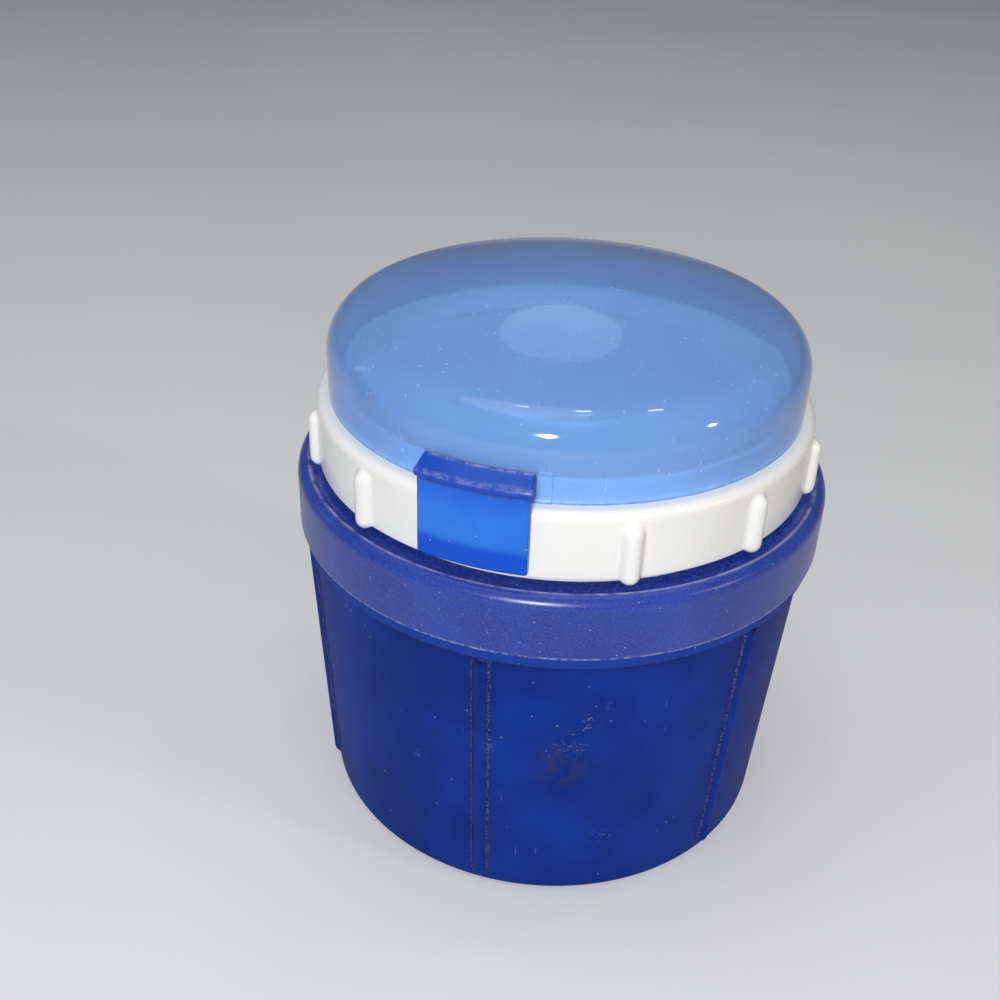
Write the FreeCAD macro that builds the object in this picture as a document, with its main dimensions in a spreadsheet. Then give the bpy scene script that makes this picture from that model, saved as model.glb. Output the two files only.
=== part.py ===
import FreeCAD, Part
import math
import os

import Sketcher

# Insulated lunch jar, in millimetres. +Z is up and the origin is the middle of the foot, on the floor.
# The latch faces -Y. Each piece is drawn with its front along +X and then turned to face -Y.

SIZES = {
    # Outer shell
    "cone_height": 70.4,
    "cone_taper": 4.0,
    "shoulder_inset": 2.5,
    "shell_wall": 2.6,
    "foot_round": 2.0,
    "foot_lip_width": 5.4,
    "foot_lip_height": 3.0,
    "band_inset": 0.8,
    "band_height": 3.4,
    "neck_height": 8.2,
    "neck_wall": 2.2,
    "neck_gap": 0.4,
    "bead_count": 6,
    "bead_proud": 1.25,
    "bead_skin": 0.15,
    "bead_start": 4.2,
    "rib_phase": 3.0,
    # Base, insulation and liner
    "base_plate_thick": 2.0,
    "base_plate_gap": 0.3,
    "fill_hole_radius": 5.0,
    "plug_gap": 0.1,
    "plug_head_radius": 7.0,
    "plug_head_thick": 0.8,
    "base_foam": 7.0,
    "foam_gap": 0.3,
    "neck_foam": 2.5,
    "liner_wall": 1.6,
    "liner_flange": 2.0,
    "liner_flange_gap": 0.3,
    # Collar
    "collar_wall": 2.0,
    "collar_seat_thick": 2.4,
    "collar_recess": 1.6,
    "collar_recess_gap": 0.3,
    "rim_rise": 0.5,
    "rim_round": 2.7,
    "rim_slope": 0.8,
    # Bowl
    "bowl_neck_radius": 52.0,
    "bowl_taper": 6.2,
    "bowl_wall": 2.0,
    "bowl_gap": 0.7,
    "bowl_floor_gap": 0.5,
    "bowl_flange_width": 2.0,
    "bowl_flange": 2.0,
    "bowl_neck_height": 12.0,
    "bowl_corner_round": 6.0,
    # Thread lugs
    "lug_count": 4,
    "lug_lead": 24.0,
    "lug_root": 2.6,
    "lug_crest": 1.8,
    "lug_depth": 1.9,
    "lug_gap": 0.5,
    "lug_flank_gap": 0.4,
    "lug_height": 8.1,
    "bowl_lug_span": 44.0,
    "ring_lug_span": 36.0,
    "lug_sink": 0.5,
    # Lid ring
    "ring_wall": 2.6,
    "ring_lift": 1.5,
    "ring_round": 2.0,
    "ring_lip": 1.6,
    "ring_lip_gap": 0.2,
    "catch_depth": 0.9,
    "catch_height": 0.4,
    "catch_gap": 0.3,
    "upstand_height": 5.0,
    "upstand_wall": 1.6,
    "upstand_gap": 0.7,
    "grip_count": 5,
    "grip_proud": 2.0,
    "grip_skin": 0.2,
    "grip_phase": 1.7,
    "grip_pitch": 30.0,
    "grip_drop": 1.1,
    "grip_top_gap": 2.7,
    # Lid plate and plug
    "gasket_thick": 1.4,
    "gasket_gap": 0.4,
    "plate_thick": 1.6,
    "plate_gap": 0.4,
    "plate_boss_radius": 16.0,
    "plate_boss_height": 1.2,
    "plug_cover_gap": 2.5,
    "plug_cover_wall": 1.5,
    "plug_cover_depth": 10.0,
    "plug_cover_round": 3.0,
    # Dome
    "dome_inset": 2.8,
    "dome_wall": 2.0,
    "dome_gap": 0.2,
    "dome_side": 10.1,
    "dome_shoulder": 9.0,
    "dome_crown": 172.0,
    # Rear hinge
    "hinge_standoff": 1.9,
    "hinge_rise": 2.0,
    "hinge_barrel": 2.4,
    "hinge_knuckle": 13.0,
    "hinge_side_gap": 0.25,
    "hinge_ear": 4.0,
    "hinge_ear_drop": 6.0,
    "hinge_pin_radius": 1.1,
    "hinge_pin_gap": 0.05,
    "hinge_pin_end": 0.4,
    # Latch
    "latch_rise": 5.0,
    "latch_barrel": 1.0,
    "latch_standoff": 0.9,
    "latch_barrel_inset": 0.3,
    "latch_root_step": 0.15,
    "latch_half_angle": 11.6,
    "latch_clearance": 0.3,
    "latch_wall": 1.4,
    "latch_hook": 0.6,
    "latch_hook_height": 3.3,
    "latch_ledge_back": 1.3,
    "latch_ledge_rise": 3.3,
    "latch_ledge_fall": 2.95,
    "latch_foot_gap": 1.6,
    "latch_round": 0.7,
    "latch_knuckle": 2.8,
    "latch_knuckle_place": 7.2,
    "latch_side_gap": 0.25,
    "latch_turn_gap": 0.4,
    "latch_turn_room": 0.6,
    "latch_pin_radius": 0.5,
    "latch_pin_gap": 0.05,
    "latch_pin_length": 21.0,
    "pad_half_angle": 15.3,
    "pad_proud": 0.4,
    "pad_height": 7.2,
}

FACING = -90.0
PARTS_FOLDER = "parts"
UP = FreeCAD.Vector(0, 0, 1)
LEAST_CUT = 1e-6
NEAR = 1e-3


class Size:
    """A size with its present number and the formula that ties it to the sheet."""

    def __init__(self, number, formula):
        self.number = number
        self.formula = formula

    def __add__(self, other):
        other = as_size(other)
        return Size(self.number + other.number, f"({self.formula} + {other.formula})")

    def __sub__(self, other):
        other = as_size(other)
        return Size(self.number - other.number, f"({self.formula} - {other.formula})")

    def __mul__(self, other):
        other = as_size(other)
        return Size(self.number * other.number, f"({self.formula} * {other.formula})")

    def __truediv__(self, other):
        other = as_size(other)
        return Size(self.number / other.number, f"({self.formula} / {other.formula})")

    def __neg__(self):
        return Size(-self.number, f"(-1 * {self.formula})")


def as_size(thing):
    return thing if isinstance(thing, Size) else Size(float(thing), str(thing))


def root(size):
    return Size(math.sqrt(size.number), f"sqrt({size.formula})")


def sine(size):
    return Size(math.sin(math.radians(size.number)), f"sin({size.formula})")


def cosine(size):
    return Size(math.cos(math.radians(size.number)), f"cos({size.formula})")


def slope_angle(rise, run):
    degrees = math.degrees(math.atan2(rise.number, run.number))
    return Size(degrees, f"atan({rise.formula} / {run.formula})")


class Bend:
    """A corner of an outline that is reached from the one before it along an arc."""

    def __init__(self, across, up, centre, clockwise=False):
        self.place = (as_size(across), as_size(up))
        self.centre = (as_size(centre[0]), as_size(centre[1]))
        self.clockwise = clockwise


doc = FreeCAD.newDocument("LunchJar")
sheet = doc.addObject("Spreadsheet::Sheet", "Sizes")


class Named:
    """The sheet's sizes, each under its own name."""


def fill_sheet():
    named = Named()
    for row, (name, number) in enumerate(SIZES.items(), start=1):
        sheet.set(f"A{row}", name)
        sheet.set(f"B{row}", str(number))
        sheet.setAlias(f"B{row}", name)
        setattr(named, name, Size(float(number), f"Sizes.{name}"))
    doc.recompute()
    return named


S = fill_sheet()


# Sketch and feature helpers

def new_body(label, turn=0.0):
    body = doc.addObject("PartDesign::Body", label)
    body.Label = label
    body.Placement = FreeCAD.Placement(FreeCAD.Vector(0, 0, 0), FreeCAD.Rotation(UP, FACING + turn))
    return body


def origin_plane(body, role):
    return next(item for item in body.Origin.OriginFeatures if item.Role == role)


def sketch_on(body, name, role="XZ_Plane", shift=(0, 0, 0), tilt=None):
    """A sketch on an origin plane, shifted and tilted in the plane's own directions."""
    sketch = body.newObject("Sketcher::SketchObject", name)
    sketch.AttachmentSupport = [(origin_plane(body, role), "")]
    sketch.MapMode = "FlatFace"
    shift = [as_size(part) for part in shift]
    rotation = FreeCAD.Rotation()
    if tilt:
        axis, angle = tilt
        rotation = FreeCAD.Rotation(axis, angle.number)
    sketch.AttachmentOffset = FreeCAD.Placement(
        FreeCAD.Vector(*[part.number for part in shift]), rotation)
    for letter, part in zip("xyz", shift):
        if part.number:
            sketch.setExpression(f"AttachmentOffset.Base.{letter}", part.formula)
    if tilt:
        sketch.setExpression("AttachmentOffset.Rotation.Angle", tilt[1].formula)
    return sketch


def place_point(sketch, geometry, point, across, up):
    """Ties one point of a sketch to a place worked out from the sheet."""
    if across is not None:
        pin_coordinate(sketch, geometry, point, "DistanceX", -2, across)
    if up is not None:
        pin_coordinate(sketch, geometry, point, "DistanceY", -1, up)


def pin_coordinate(sketch, geometry, point, kind, axis, size):
    if size.number == 0:
        sketch.addConstraint(Sketcher.Constraint("PointOnObject", geometry, point, axis))
        return
    index = sketch.addConstraint(Sketcher.Constraint(kind, -1, 1, geometry, point, size.number))
    name = f"{kind}_{geometry}_{point}"
    sketch.renameConstraint(index, name)
    sketch.setExpression(f"Constraints.{name}", size.formula)


def corner_place(corner):
    if isinstance(corner, Bend):
        return corner.place
    return as_size(corner[0]), as_size(corner[1])


def draw_outline(sketch, corners):
    """A closed outline of straight lines, and arcs where a corner is a Bend."""
    places = [corner_place(corner) for corner in corners]
    points = [FreeCAD.Vector(across.number, up.number, 0) for across, up in places]
    begins, ends = [], []
    for index, start in enumerate(points):
        following = (index + 1) % len(points)
        finish = points[following]
        corner = corners[following]
        if not isinstance(corner, Bend):
            sketch.addGeometry(Part.LineSegment(start, finish), False)
            begins.append((index, 1))
            ends.append((index, 2))
            continue
        centre = FreeCAD.Vector(corner.centre[0].number, corner.centre[1].number, 0)
        first, last = (finish, start) if corner.clockwise else (start, finish)
        angles = [math.atan2(point.y - centre.y, point.x - centre.x) for point in (first, last)]
        circle = Part.Circle(centre, UP, (start - centre).Length)
        sketch.addGeometry(Part.ArcOfCircle(circle, angles[0], angles[1]), False)
        begins.append((index, 2 if corner.clockwise else 1))
        ends.append((index, 1 if corner.clockwise else 2))
    for index in range(len(points)):
        following = (index + 1) % len(points)
        sketch.addConstraint(Sketcher.Constraint("Coincident", *ends[index], *begins[following]))
    for index, place in enumerate(places):
        place_point(sketch, *begins[index], *place)
    for index, start in enumerate(points):
        following = (index + 1) % len(points)
        corner = corners[following]
        if isinstance(corner, Bend):
            chord = points[following] - start
            lies_flat = abs(chord.x) > abs(chord.y)
            across, up = corner.centre
            place_point(sketch, index, 3, None if lies_flat else across, up if lies_flat else None)


def draw_circle(sketch, across, up, radius):
    centre = FreeCAD.Vector(across.number, up.number, 0)
    geometry = sketch.addGeometry(Part.Circle(centre, UP, radius.number), False)
    place_point(sketch, geometry, 3, across, up)
    index = sketch.addConstraint(Sketcher.Constraint("Radius", geometry, radius.number))
    sketch.renameConstraint(index, "radius")
    sketch.setExpression("Constraints.radius", radius.formula)


def turn_solid(body, sketch, name, span=None):
    """Revolves a sketch about its own upright axis, fully or over a span centred on the sketch."""
    turned = body.newObject("PartDesign::Revolution", name)
    turned.Profile = sketch
    turned.ReferenceAxis = (sketch, ["V_Axis"])
    turned.Angle = 360.0
    if span is not None:
        turned.Midplane = True
        turned.Angle = span.number
        turned.setExpression("Angle", span.formula)
    return settle(body, turned)


def pad(body, sketch, name, length, symmetric=False):
    feature = body.newObject("PartDesign::Pad", name)
    feature.Profile = sketch
    feature.Length = length.number
    feature.setExpression("Length", length.formula)
    if symmetric:
        feature.SideType = "Symmetric"
    return settle(body, feature)


def cut(body, sketch, name, length, symmetric=False):
    """A pocket along the sketch's normal that has to take some of the solid away."""
    before = body.Shape.Volume
    feature = body.newObject("PartDesign::Pocket", name)
    feature.Profile = sketch
    feature.Length = length.number
    feature.setExpression("Length", length.formula)
    if symmetric:
        feature.SideType = "Symmetric"
    else:
        feature.Reversed = True
    settle(body, feature)
    if body.Shape.Volume > before - LEAST_CUT:
        raise RuntimeError(f"{name} cuts nothing")
    return feature


def settle(body, feature):
    body.Tip = feature
    doc.recompute()
    return feature


def mirror(body, features, name, role="XZ_Plane"):
    copies = body.newObject("PartDesign::Mirrored", name)
    copies.Originals = features
    copies.MirrorPlane = (origin_plane(body, role), [""])
    return settle(body, copies)


def repeat_round(body, features, name, count, angle):
    """Copies features about the upright axis, spread evenly over an angle."""
    copies = body.newObject("PartDesign::PolarPattern", name)
    copies.Originals = features
    copies.Axis = (origin_plane(body, "Z_Axis"), [""])
    copies.Angle = angle.number
    copies.setExpression("Angle", angle.formula)
    copies.Occurrences = int(count.number)
    copies.setExpression("Occurrences", count.formula)
    return settle(body, copies)


def round_edges(body, name, radius, rings):
    """Rounds the full circles that lie at the given radius and height."""
    return fillet(body, name, radius, [edge_name(body.Tip.Shape, across, up) for across, up in rings])


def fillet(body, name, radius, edge_names):
    base = body.Tip
    feature = body.newObject("PartDesign::Fillet", name)
    feature.Base = (base, edge_names)
    feature.Radius = radius.number
    feature.setExpression("Radius", radius.formula)
    return settle(body, feature)


def edge_name(shape, across, up):
    for number, edge in enumerate(shape.Edges, start=1):
        if not isinstance(edge.Curve, Part.Circle):
            continue
        close = abs(edge.Curve.Radius - across.number) < NEAR
        level = abs(edge.BoundBox.ZMin - up.number) < NEAR and abs(edge.BoundBox.ZMax - up.number) < NEAR
        if close and level:
            return f"Edge{number}"
    raise RuntimeError(f"no round edge at radius {across.number}, height {up.number}")


def turned_body(label, corners, turn=0.0, role="XZ_Plane"):
    body = new_body(label, turn)
    sketch = sketch_on(body, f"{label}_outline", role)
    draw_outline(sketch, corners)
    turn_solid(body, sketch, f"{label}_turned")
    return body


# Heights and radii that several pieces share

base_top = S.foot_lip_height + S.base_plate_thick
liner_base = base_top + S.base_foam
liner_floor = liner_base + S.liner_wall
band_top = S.cone_height + S.band_height
neck_top = band_top + S.neck_height
collar_plate = neck_top + S.liner_flange
bowl_seat = collar_plate + S.collar_seat_thick
collar_ledge = bowl_seat + S.collar_recess
collar_top = collar_ledge + S.rim_rise
flange_top = bowl_seat + S.bowl_flange
ring_bottom = flange_top + S.ring_lift
bowl_rim = flange_top + S.bowl_neck_height
plate_under = bowl_rim + S.gasket_thick
plate_top = plate_under + S.plate_thick
lip_under = plate_top + S.ring_lip_gap
ring_top = lip_under + S.ring_lip
dome_foot = ring_top + S.dome_gap

bowl_inside = S.bowl_neck_radius - S.bowl_wall
bowl_foot_radius = S.bowl_neck_radius - S.bowl_taper
bowl_flange_radius = S.bowl_neck_radius + S.bowl_flange_width
sleeve_radius = S.bowl_neck_radius + S.bowl_gap
liner_outside = sleeve_radius + S.liner_wall
liner_foot = bowl_foot_radius + S.bowl_gap
neck_inside = liner_outside + S.foam_gap * 2 + S.neck_foam
neck_outside = neck_inside + S.neck_wall
skirt_inside = neck_outside + S.neck_gap
collar_radius = skirt_inside + S.collar_wall
shoulder_radius = collar_radius - S.shoulder_inset
foot_radius = shoulder_radius - S.cone_taper
band_radius = collar_radius - S.band_inset
shell_inside_foot = foot_radius - S.shell_wall
shell_inside_shoulder = shoulder_radius - S.shell_wall

ring_bore = S.bowl_neck_radius + S.lug_depth + S.lug_gap
ring_radius = ring_bore + S.ring_wall
plug_cover_radius = bowl_inside - S.plug_cover_gap
dome_radius = ring_radius - S.dome_inset
dome_inside = dome_radius - S.dome_wall
hinge_reach = ring_radius + S.hinge_standoff
latch_reach = dome_radius + S.pad_proud + S.latch_standoff + S.latch_barrel
latch_hook_inside = ring_radius + S.latch_clearance
latch_inside = latch_hook_inside + S.latch_hook
latch_face = latch_inside + S.latch_wall
bowl_lug_level = flange_top + S.lug_height


# Jar

def outer_shell():
    lip_inside = foot_radius - S.foot_lip_width
    body = turned_body("outer_shell", [
        (lip_inside, 0),
        (foot_radius, 0),
        (shoulder_radius, S.cone_height),
        (band_radius, S.cone_height),
        (band_radius, band_top),
        (neck_outside, band_top),
        (neck_outside, neck_top),
        (neck_inside, neck_top),
        (shell_inside_shoulder, S.cone_height),
        (shell_inside_foot, S.foot_lip_height),
        (lip_inside, S.foot_lip_height),
    ], turn=S.rib_phase.number, role="YZ_Plane")
    body.setExpression("Placement.Rotation.Angle", f"{S.rib_phase.formula} + ({FACING})")
    round_edges(body, "foot_round", S.foot_round, [(foot_radius, as_size(0))])
    # Beads that stand on the sloping wall, round at the foot and ending in the band
    taper = slope_angle(S.cone_taper, S.cone_height)
    bead_sink = (S.shell_wall - S.bead_skin - S.bead_proud) / 2
    bead_radius = S.bead_proud + bead_sink
    start_radius = foot_radius + S.cone_taper * S.bead_start / S.cone_height - bead_sink
    bead_length = S.cone_height + S.band_height / 2 - S.bead_start
    sketch = sketch_on(body, "bead_outline", shift=(start_radius, S.bead_start, 0),
                       tilt=(FreeCAD.Vector(0, 0, 1), -taper))
    draw_outline(sketch, [
        (0, bead_length),
        (-bead_radius, bead_length),
        (-bead_radius, 0),
        Bend(0, -bead_radius, centre=(0, 0)),
    ])
    bead = turn_solid(body, sketch, "bead")
    repeat_round(body, [bead], "beads", S.bead_count, as_size(360))
    return body


def base_plate():
    radius = shell_inside_foot - S.base_plate_gap
    return turned_body("base_plate", [
        (S.fill_hole_radius, S.foot_lip_height),
        (radius, S.foot_lip_height),
        (radius, base_top),
        (S.fill_hole_radius, base_top),
    ])


def fill_plug():
    stem = S.fill_hole_radius - S.plug_gap
    return turned_body("fill_plug", [
        (0, S.foot_lip_height - S.plug_head_thick),
        (S.plug_head_radius, S.foot_lip_height - S.plug_head_thick),
        (S.plug_head_radius, S.foot_lip_height),
        (stem, S.foot_lip_height),
        (stem, base_top),
        (0, base_top),
    ])


def insulation_disc():
    radius = shell_inside_foot - S.foam_gap
    return turned_body("insulation_disc", [
        (0, base_top),
        (radius, base_top),
        (radius, liner_base),
        (0, liner_base),
    ])


def insulation_sleeve():
    return turned_body("insulation_sleeve", [
        (liner_foot + S.liner_wall + S.foam_gap, liner_base),
        (shell_inside_foot - S.foam_gap, liner_base),
        (shell_inside_shoulder - S.foam_gap, S.cone_height),
        (neck_inside - S.foam_gap, neck_top),
        (liner_outside + S.foam_gap, neck_top),
    ])


def inner_liner():
    flange_radius = neck_outside - S.liner_flange_gap
    return turned_body("inner_liner", [
        (0, liner_base),
        (liner_foot + S.liner_wall, liner_base),
        (liner_outside, neck_top),
        (flange_radius, neck_top),
        (flange_radius, collar_plate),
        (sleeve_radius, collar_plate),
        (liner_foot, liner_floor),
        (0, liner_floor),
    ])


def grip_collar():
    recess = bowl_flange_radius + S.collar_recess_gap
    rim_radius = collar_radius - S.rim_round
    return turned_body("grip_collar", [
        (skirt_inside, band_top),
        (collar_radius, band_top),
        (collar_radius, collar_top - S.rim_round),
        Bend(rim_radius, collar_top, centre=(rim_radius, collar_top - S.rim_round)),
        (rim_radius - S.rim_slope, collar_ledge),
        (recess, collar_ledge),
        (recess, bowl_seat),
        (sleeve_radius, bowl_seat),
        (sleeve_radius, collar_plate),
        (skirt_inside, collar_plate),
    ])


# Bowl

def thread_lugs(body, name, radii, level, span):
    """Short thread lugs that climb at the lead, on a wall of the first radius up to the second."""
    wall, crest = radii
    turn_length = as_size(2 * math.pi) * S.bowl_neck_radius
    sketch = sketch_on(body, f"{name}_outline", shift=(0, level, 0),
                       tilt=(FreeCAD.Vector(1, 0, 0), slope_angle(S.lug_lead, turn_length)))
    corners = [
        (wall, -S.lug_root / 2),
        (crest, -S.lug_crest / 2),
        (crest, S.lug_crest / 2),
        (wall, S.lug_root / 2),
    ]
    draw_outline(sketch, corners if wall.number < crest.number else corners[::-1])
    lug = turn_solid(body, sketch, name, span)
    repeat_round(body, [lug], f"{name}_ring", S.lug_count, as_size(360))


def food_bowl():
    foot = liner_floor + S.bowl_floor_gap
    inside_foot = bowl_foot_radius - S.bowl_wall
    body = turned_body("food_bowl", [
        (0, foot),
        (bowl_foot_radius, foot),
        (S.bowl_neck_radius, bowl_seat),
        (bowl_flange_radius, bowl_seat),
        (bowl_flange_radius, flange_top),
        (S.bowl_neck_radius, flange_top),
        (S.bowl_neck_radius, bowl_rim),
        (bowl_inside, bowl_rim),
        (bowl_inside, bowl_seat),
        (inside_foot, foot + S.bowl_wall),
        (0, foot + S.bowl_wall),
    ])
    round_edges(body, "bowl_outer_round", S.bowl_corner_round, [(bowl_foot_radius, foot)])
    round_edges(body, "bowl_inner_round", S.bowl_corner_round - S.bowl_wall,
                [(inside_foot, foot + S.bowl_wall)])
    crest = S.bowl_neck_radius + S.lug_depth
    thread_lugs(body, "bowl_lug", (S.bowl_neck_radius - S.lug_sink, crest), bowl_lug_level, S.bowl_lug_span)
    return body


# Lid plate with its plug

def lid_gasket():
    return turned_body("lid_gasket", [
        (plug_cover_radius + S.gasket_gap, bowl_rim),
        (S.bowl_neck_radius, bowl_rim),
        (S.bowl_neck_radius, plate_under),
        (plug_cover_radius + S.gasket_gap, plate_under),
    ])


def lid_plate():
    radius = ring_bore - S.plate_gap
    return turned_body("lid_plate", [
        (0, plate_under),
        (radius, plate_under),
        (radius, plate_top),
        (S.plate_boss_radius, plate_top),
        (S.plate_boss_radius - S.plate_boss_height, plate_top + S.plate_boss_height),
        (0, plate_top + S.plate_boss_height),
    ])


def lid_insulation():
    radius = plug_cover_radius - S.plug_cover_wall - S.foam_gap
    floor = plate_under - S.plug_cover_depth + S.plug_cover_wall
    body = turned_body("lid_insulation", [
        (0, floor),
        (radius, floor),
        (radius, plate_under),
        (0, plate_under),
    ])
    round_edges(body, "foam_round", S.plug_cover_round - S.plug_cover_wall, [(radius, floor)])
    return body


def lid_under_cover():
    inside = plug_cover_radius - S.plug_cover_wall
    bottom = plate_under - S.plug_cover_depth
    floor = bottom + S.plug_cover_wall
    body = turned_body("lid_under_cover", [
        (0, bottom),
        (plug_cover_radius, bottom),
        (plug_cover_radius, plate_under),
        (inside, plate_under),
        (inside, floor),
        (0, floor),
    ])
    round_edges(body, "cover_outer_round", S.plug_cover_round, [(plug_cover_radius, bottom)])
    round_edges(body, "cover_inner_round", S.plug_cover_round - S.plug_cover_wall, [(inside, floor)])
    return body


# Rear hinge, shared by the ring and the dome

hinge_level = ring_top + S.hinge_rise
ear_start = S.hinge_knuckle / 2 + S.hinge_side_gap
ear_end = ear_start + S.hinge_ear


def bore_through(body, name, across, up, radius, length):
    sketch = sketch_on(body, f"{name}_outline")
    draw_circle(sketch, across, up, radius)
    return cut(body, sketch, name, length, symmetric=True)


# Lid ring

def grip_ribs(body, name, first_angle):
    """A row of round grip ribs, one grip pitch apart, from the first angle on."""
    grip_radius = (S.ring_wall - S.grip_skin + S.grip_proud) / 2
    axis_radius = ring_radius + S.grip_proud - grip_radius
    low = ring_bottom - S.grip_drop + grip_radius
    high = ring_top - S.grip_top_gap - grip_radius
    sketch = sketch_on(body, f"{name}_outline", shift=(
        axis_radius * cosine(first_angle), low, -(axis_radius * sine(first_angle))))
    length = high - low
    draw_outline(sketch, [
        (0, -grip_radius),
        Bend(grip_radius, 0, centre=(0, 0)),
        (grip_radius, length),
        Bend(0, length + grip_radius, centre=(0, length)),
    ])
    rib = turn_solid(body, sketch, name)
    repeat_round(body, [rib], f"{name}_row", S.grip_count, S.grip_pitch * (S.grip_count - 1))


def lid_ring():
    upstand_outside = dome_inside - S.upstand_gap
    upstand_inside = upstand_outside - S.upstand_wall
    catch_top = plate_under - S.catch_gap
    round_radius = ring_radius - S.ring_round
    body = turned_body("lid_ring", [
        (ring_bore, ring_bottom),
        (ring_radius, ring_bottom),
        (ring_radius, ring_top - S.ring_round),
        Bend(round_radius, ring_top, centre=(round_radius, ring_top - S.ring_round)),
        (upstand_outside, ring_top),
        (upstand_outside, ring_top + S.upstand_height),
        (upstand_inside, ring_top + S.upstand_height),
        (upstand_inside, lip_under),
        (ring_bore, lip_under),
        (ring_bore, catch_top),
        (ring_bore - S.catch_depth, catch_top),
        (ring_bore - S.catch_depth, catch_top - S.catch_height),
        (ring_bore, catch_top - S.catch_height - S.catch_depth),
    ])
    lug_level = bowl_lug_level - (S.lug_root + S.lug_crest) / 2 - S.lug_flank_gap
    crest = ring_bore - S.lug_depth
    thread_lugs(body, "ring_lug", (ring_bore + S.lug_sink, crest), lug_level, S.ring_lug_span)
    grip_ribs(body, "grip_right", S.grip_phase + S.grip_pitch)
    # One pitch stays bare on each side, for the latch in front and the hinge at the rear
    grip_ribs(body, "grip_left", S.grip_phase + S.grip_pitch * (S.grip_count + 2))
    # Ears that carry the dome's hinge pin
    sketch = sketch_on(body, "ear_outline", shift=(0, 0, ear_start))
    ear_back = hinge_reach + S.hinge_barrel
    draw_outline(sketch, [
        (-(ring_radius - S.ring_wall / 2), hinge_level - S.hinge_barrel - S.hinge_ear_drop),
        (-(ring_radius - S.ring_wall / 2), ring_top - S.ring_round / 2),
        (-(hinge_reach - S.hinge_barrel), hinge_level),
        Bend(-ear_back, hinge_level, centre=(-hinge_reach, hinge_level)),
    ])
    ear = pad(body, sketch, "ear", S.hinge_ear)
    mirror(body, [ear], "ears")
    bore_through(body, "ear_bore", -hinge_reach, hinge_level,
                 S.hinge_pin_radius + S.hinge_pin_gap / 2, ear_end * 4)
    return body


def dome_hinge_pin():
    body = new_body("dome_hinge_pin")
    sketch = sketch_on(body, "hinge_pin_outline")
    draw_circle(sketch, -hinge_reach, hinge_level, S.hinge_pin_radius)
    pad(body, sketch, "hinge_pin", (ear_end + S.hinge_pin_end) * 2, symmetric=True)
    return body


# Dome

latch_level = ring_top + S.latch_rise


def dome_arcs(radius, shoulder, crown):
    """Wall top, tangent point and apex of a shell whose shoulder and crown arcs meet smoothly."""
    shoulder_across = dome_radius - S.dome_shoulder
    shoulder_up = dome_foot + S.dome_side
    reach = S.dome_crown - S.dome_shoulder
    drop = root(reach * reach - shoulder_across * shoulder_across)
    crown_up = shoulder_up - drop
    meet = (shoulder_across + shoulder * shoulder_across / reach, shoulder_up + shoulder * drop / reach)
    return {
        "wall_top": (radius, shoulder_up),
        "meet": meet,
        "shoulder_centre": (shoulder_across, shoulder_up),
        "apex": (as_size(0), crown_up + crown),
        "crown_centre": (as_size(0), crown_up),
    }


def dome_lid():
    outer = dome_arcs(dome_radius, S.dome_shoulder, S.dome_crown)
    inner = dome_arcs(dome_inside, S.dome_shoulder - S.dome_wall, S.dome_crown - S.dome_wall)
    body = turned_body("dome_lid", [
        (dome_inside, dome_foot),
        (dome_radius, dome_foot),
        outer["wall_top"],
        Bend(*outer["meet"], centre=outer["shoulder_centre"]),
        Bend(*outer["apex"], centre=outer["crown_centre"]),
        inner["apex"],
        Bend(*inner["meet"], centre=inner["crown_centre"], clockwise=True),
        Bend(*inner["wall_top"], centre=inner["shoulder_centre"], clockwise=True),
    ])
    # Raised pad behind the latch
    sketch = sketch_on(body, "pad_outline")
    draw_outline(sketch, [
        (dome_radius - S.dome_wall / 2, dome_foot),
        (dome_radius + S.pad_proud, dome_foot),
        (dome_radius + S.pad_proud, dome_foot + S.pad_height),
        (dome_radius - S.dome_wall / 2, dome_foot + S.pad_height),
    ])
    turn_solid(body, sketch, "latch_pad", S.pad_half_angle * 2)
    # Two knuckles for the latch pin
    knuckle_start = S.latch_knuckle_place - S.latch_knuckle / 2
    sketch = sketch_on(body, "latch_knuckle_outline", shift=(0, 0, knuckle_start))
    in_wall = dome_radius - S.dome_wall / 2
    draw_outline(sketch, [
        (in_wall, latch_level - S.latch_barrel),
        (latch_reach, latch_level - S.latch_barrel),
        Bend(latch_reach, latch_level + S.latch_barrel, centre=(latch_reach, latch_level)),
        (in_wall, latch_level + S.latch_barrel),
    ])
    knuckle = pad(body, sketch, "latch_knuckle", S.latch_knuckle)
    mirror(body, [knuckle], "latch_knuckles")
    bore_through(body, "latch_knuckle_bore", latch_reach, latch_level,
                 S.latch_pin_radius + S.latch_pin_gap / 2, S.latch_pin_length)
    # Rear knuckle for the hinge pin
    sketch = sketch_on(body, "hinge_knuckle_outline")
    draw_outline(sketch, [
        (-in_wall, hinge_level + S.hinge_barrel),
        (-hinge_reach, hinge_level + S.hinge_barrel),
        Bend(-hinge_reach, hinge_level - S.hinge_barrel, centre=(-hinge_reach, hinge_level)),
        (-(ring_radius + S.dome_gap), hinge_level - S.hinge_barrel),
        (-(ring_radius + S.dome_gap), dome_foot),
        (-in_wall, dome_foot),
    ])
    pad(body, sketch, "hinge_knuckle", S.hinge_knuckle, symmetric=True)
    bore_through(body, "hinge_knuckle_bore", -hinge_reach, hinge_level,
                 S.hinge_pin_radius + S.hinge_pin_gap, S.hinge_knuckle * 2)
    return body


# Latch

def latch_pin():
    body = new_body("latch_pin")
    sketch = sketch_on(body, "latch_pin_outline")
    draw_circle(sketch, latch_reach, latch_level, S.latch_pin_radius)
    pad(body, sketch, "latch_pin_rod", S.latch_pin_length, symmetric=True)
    return body


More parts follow.
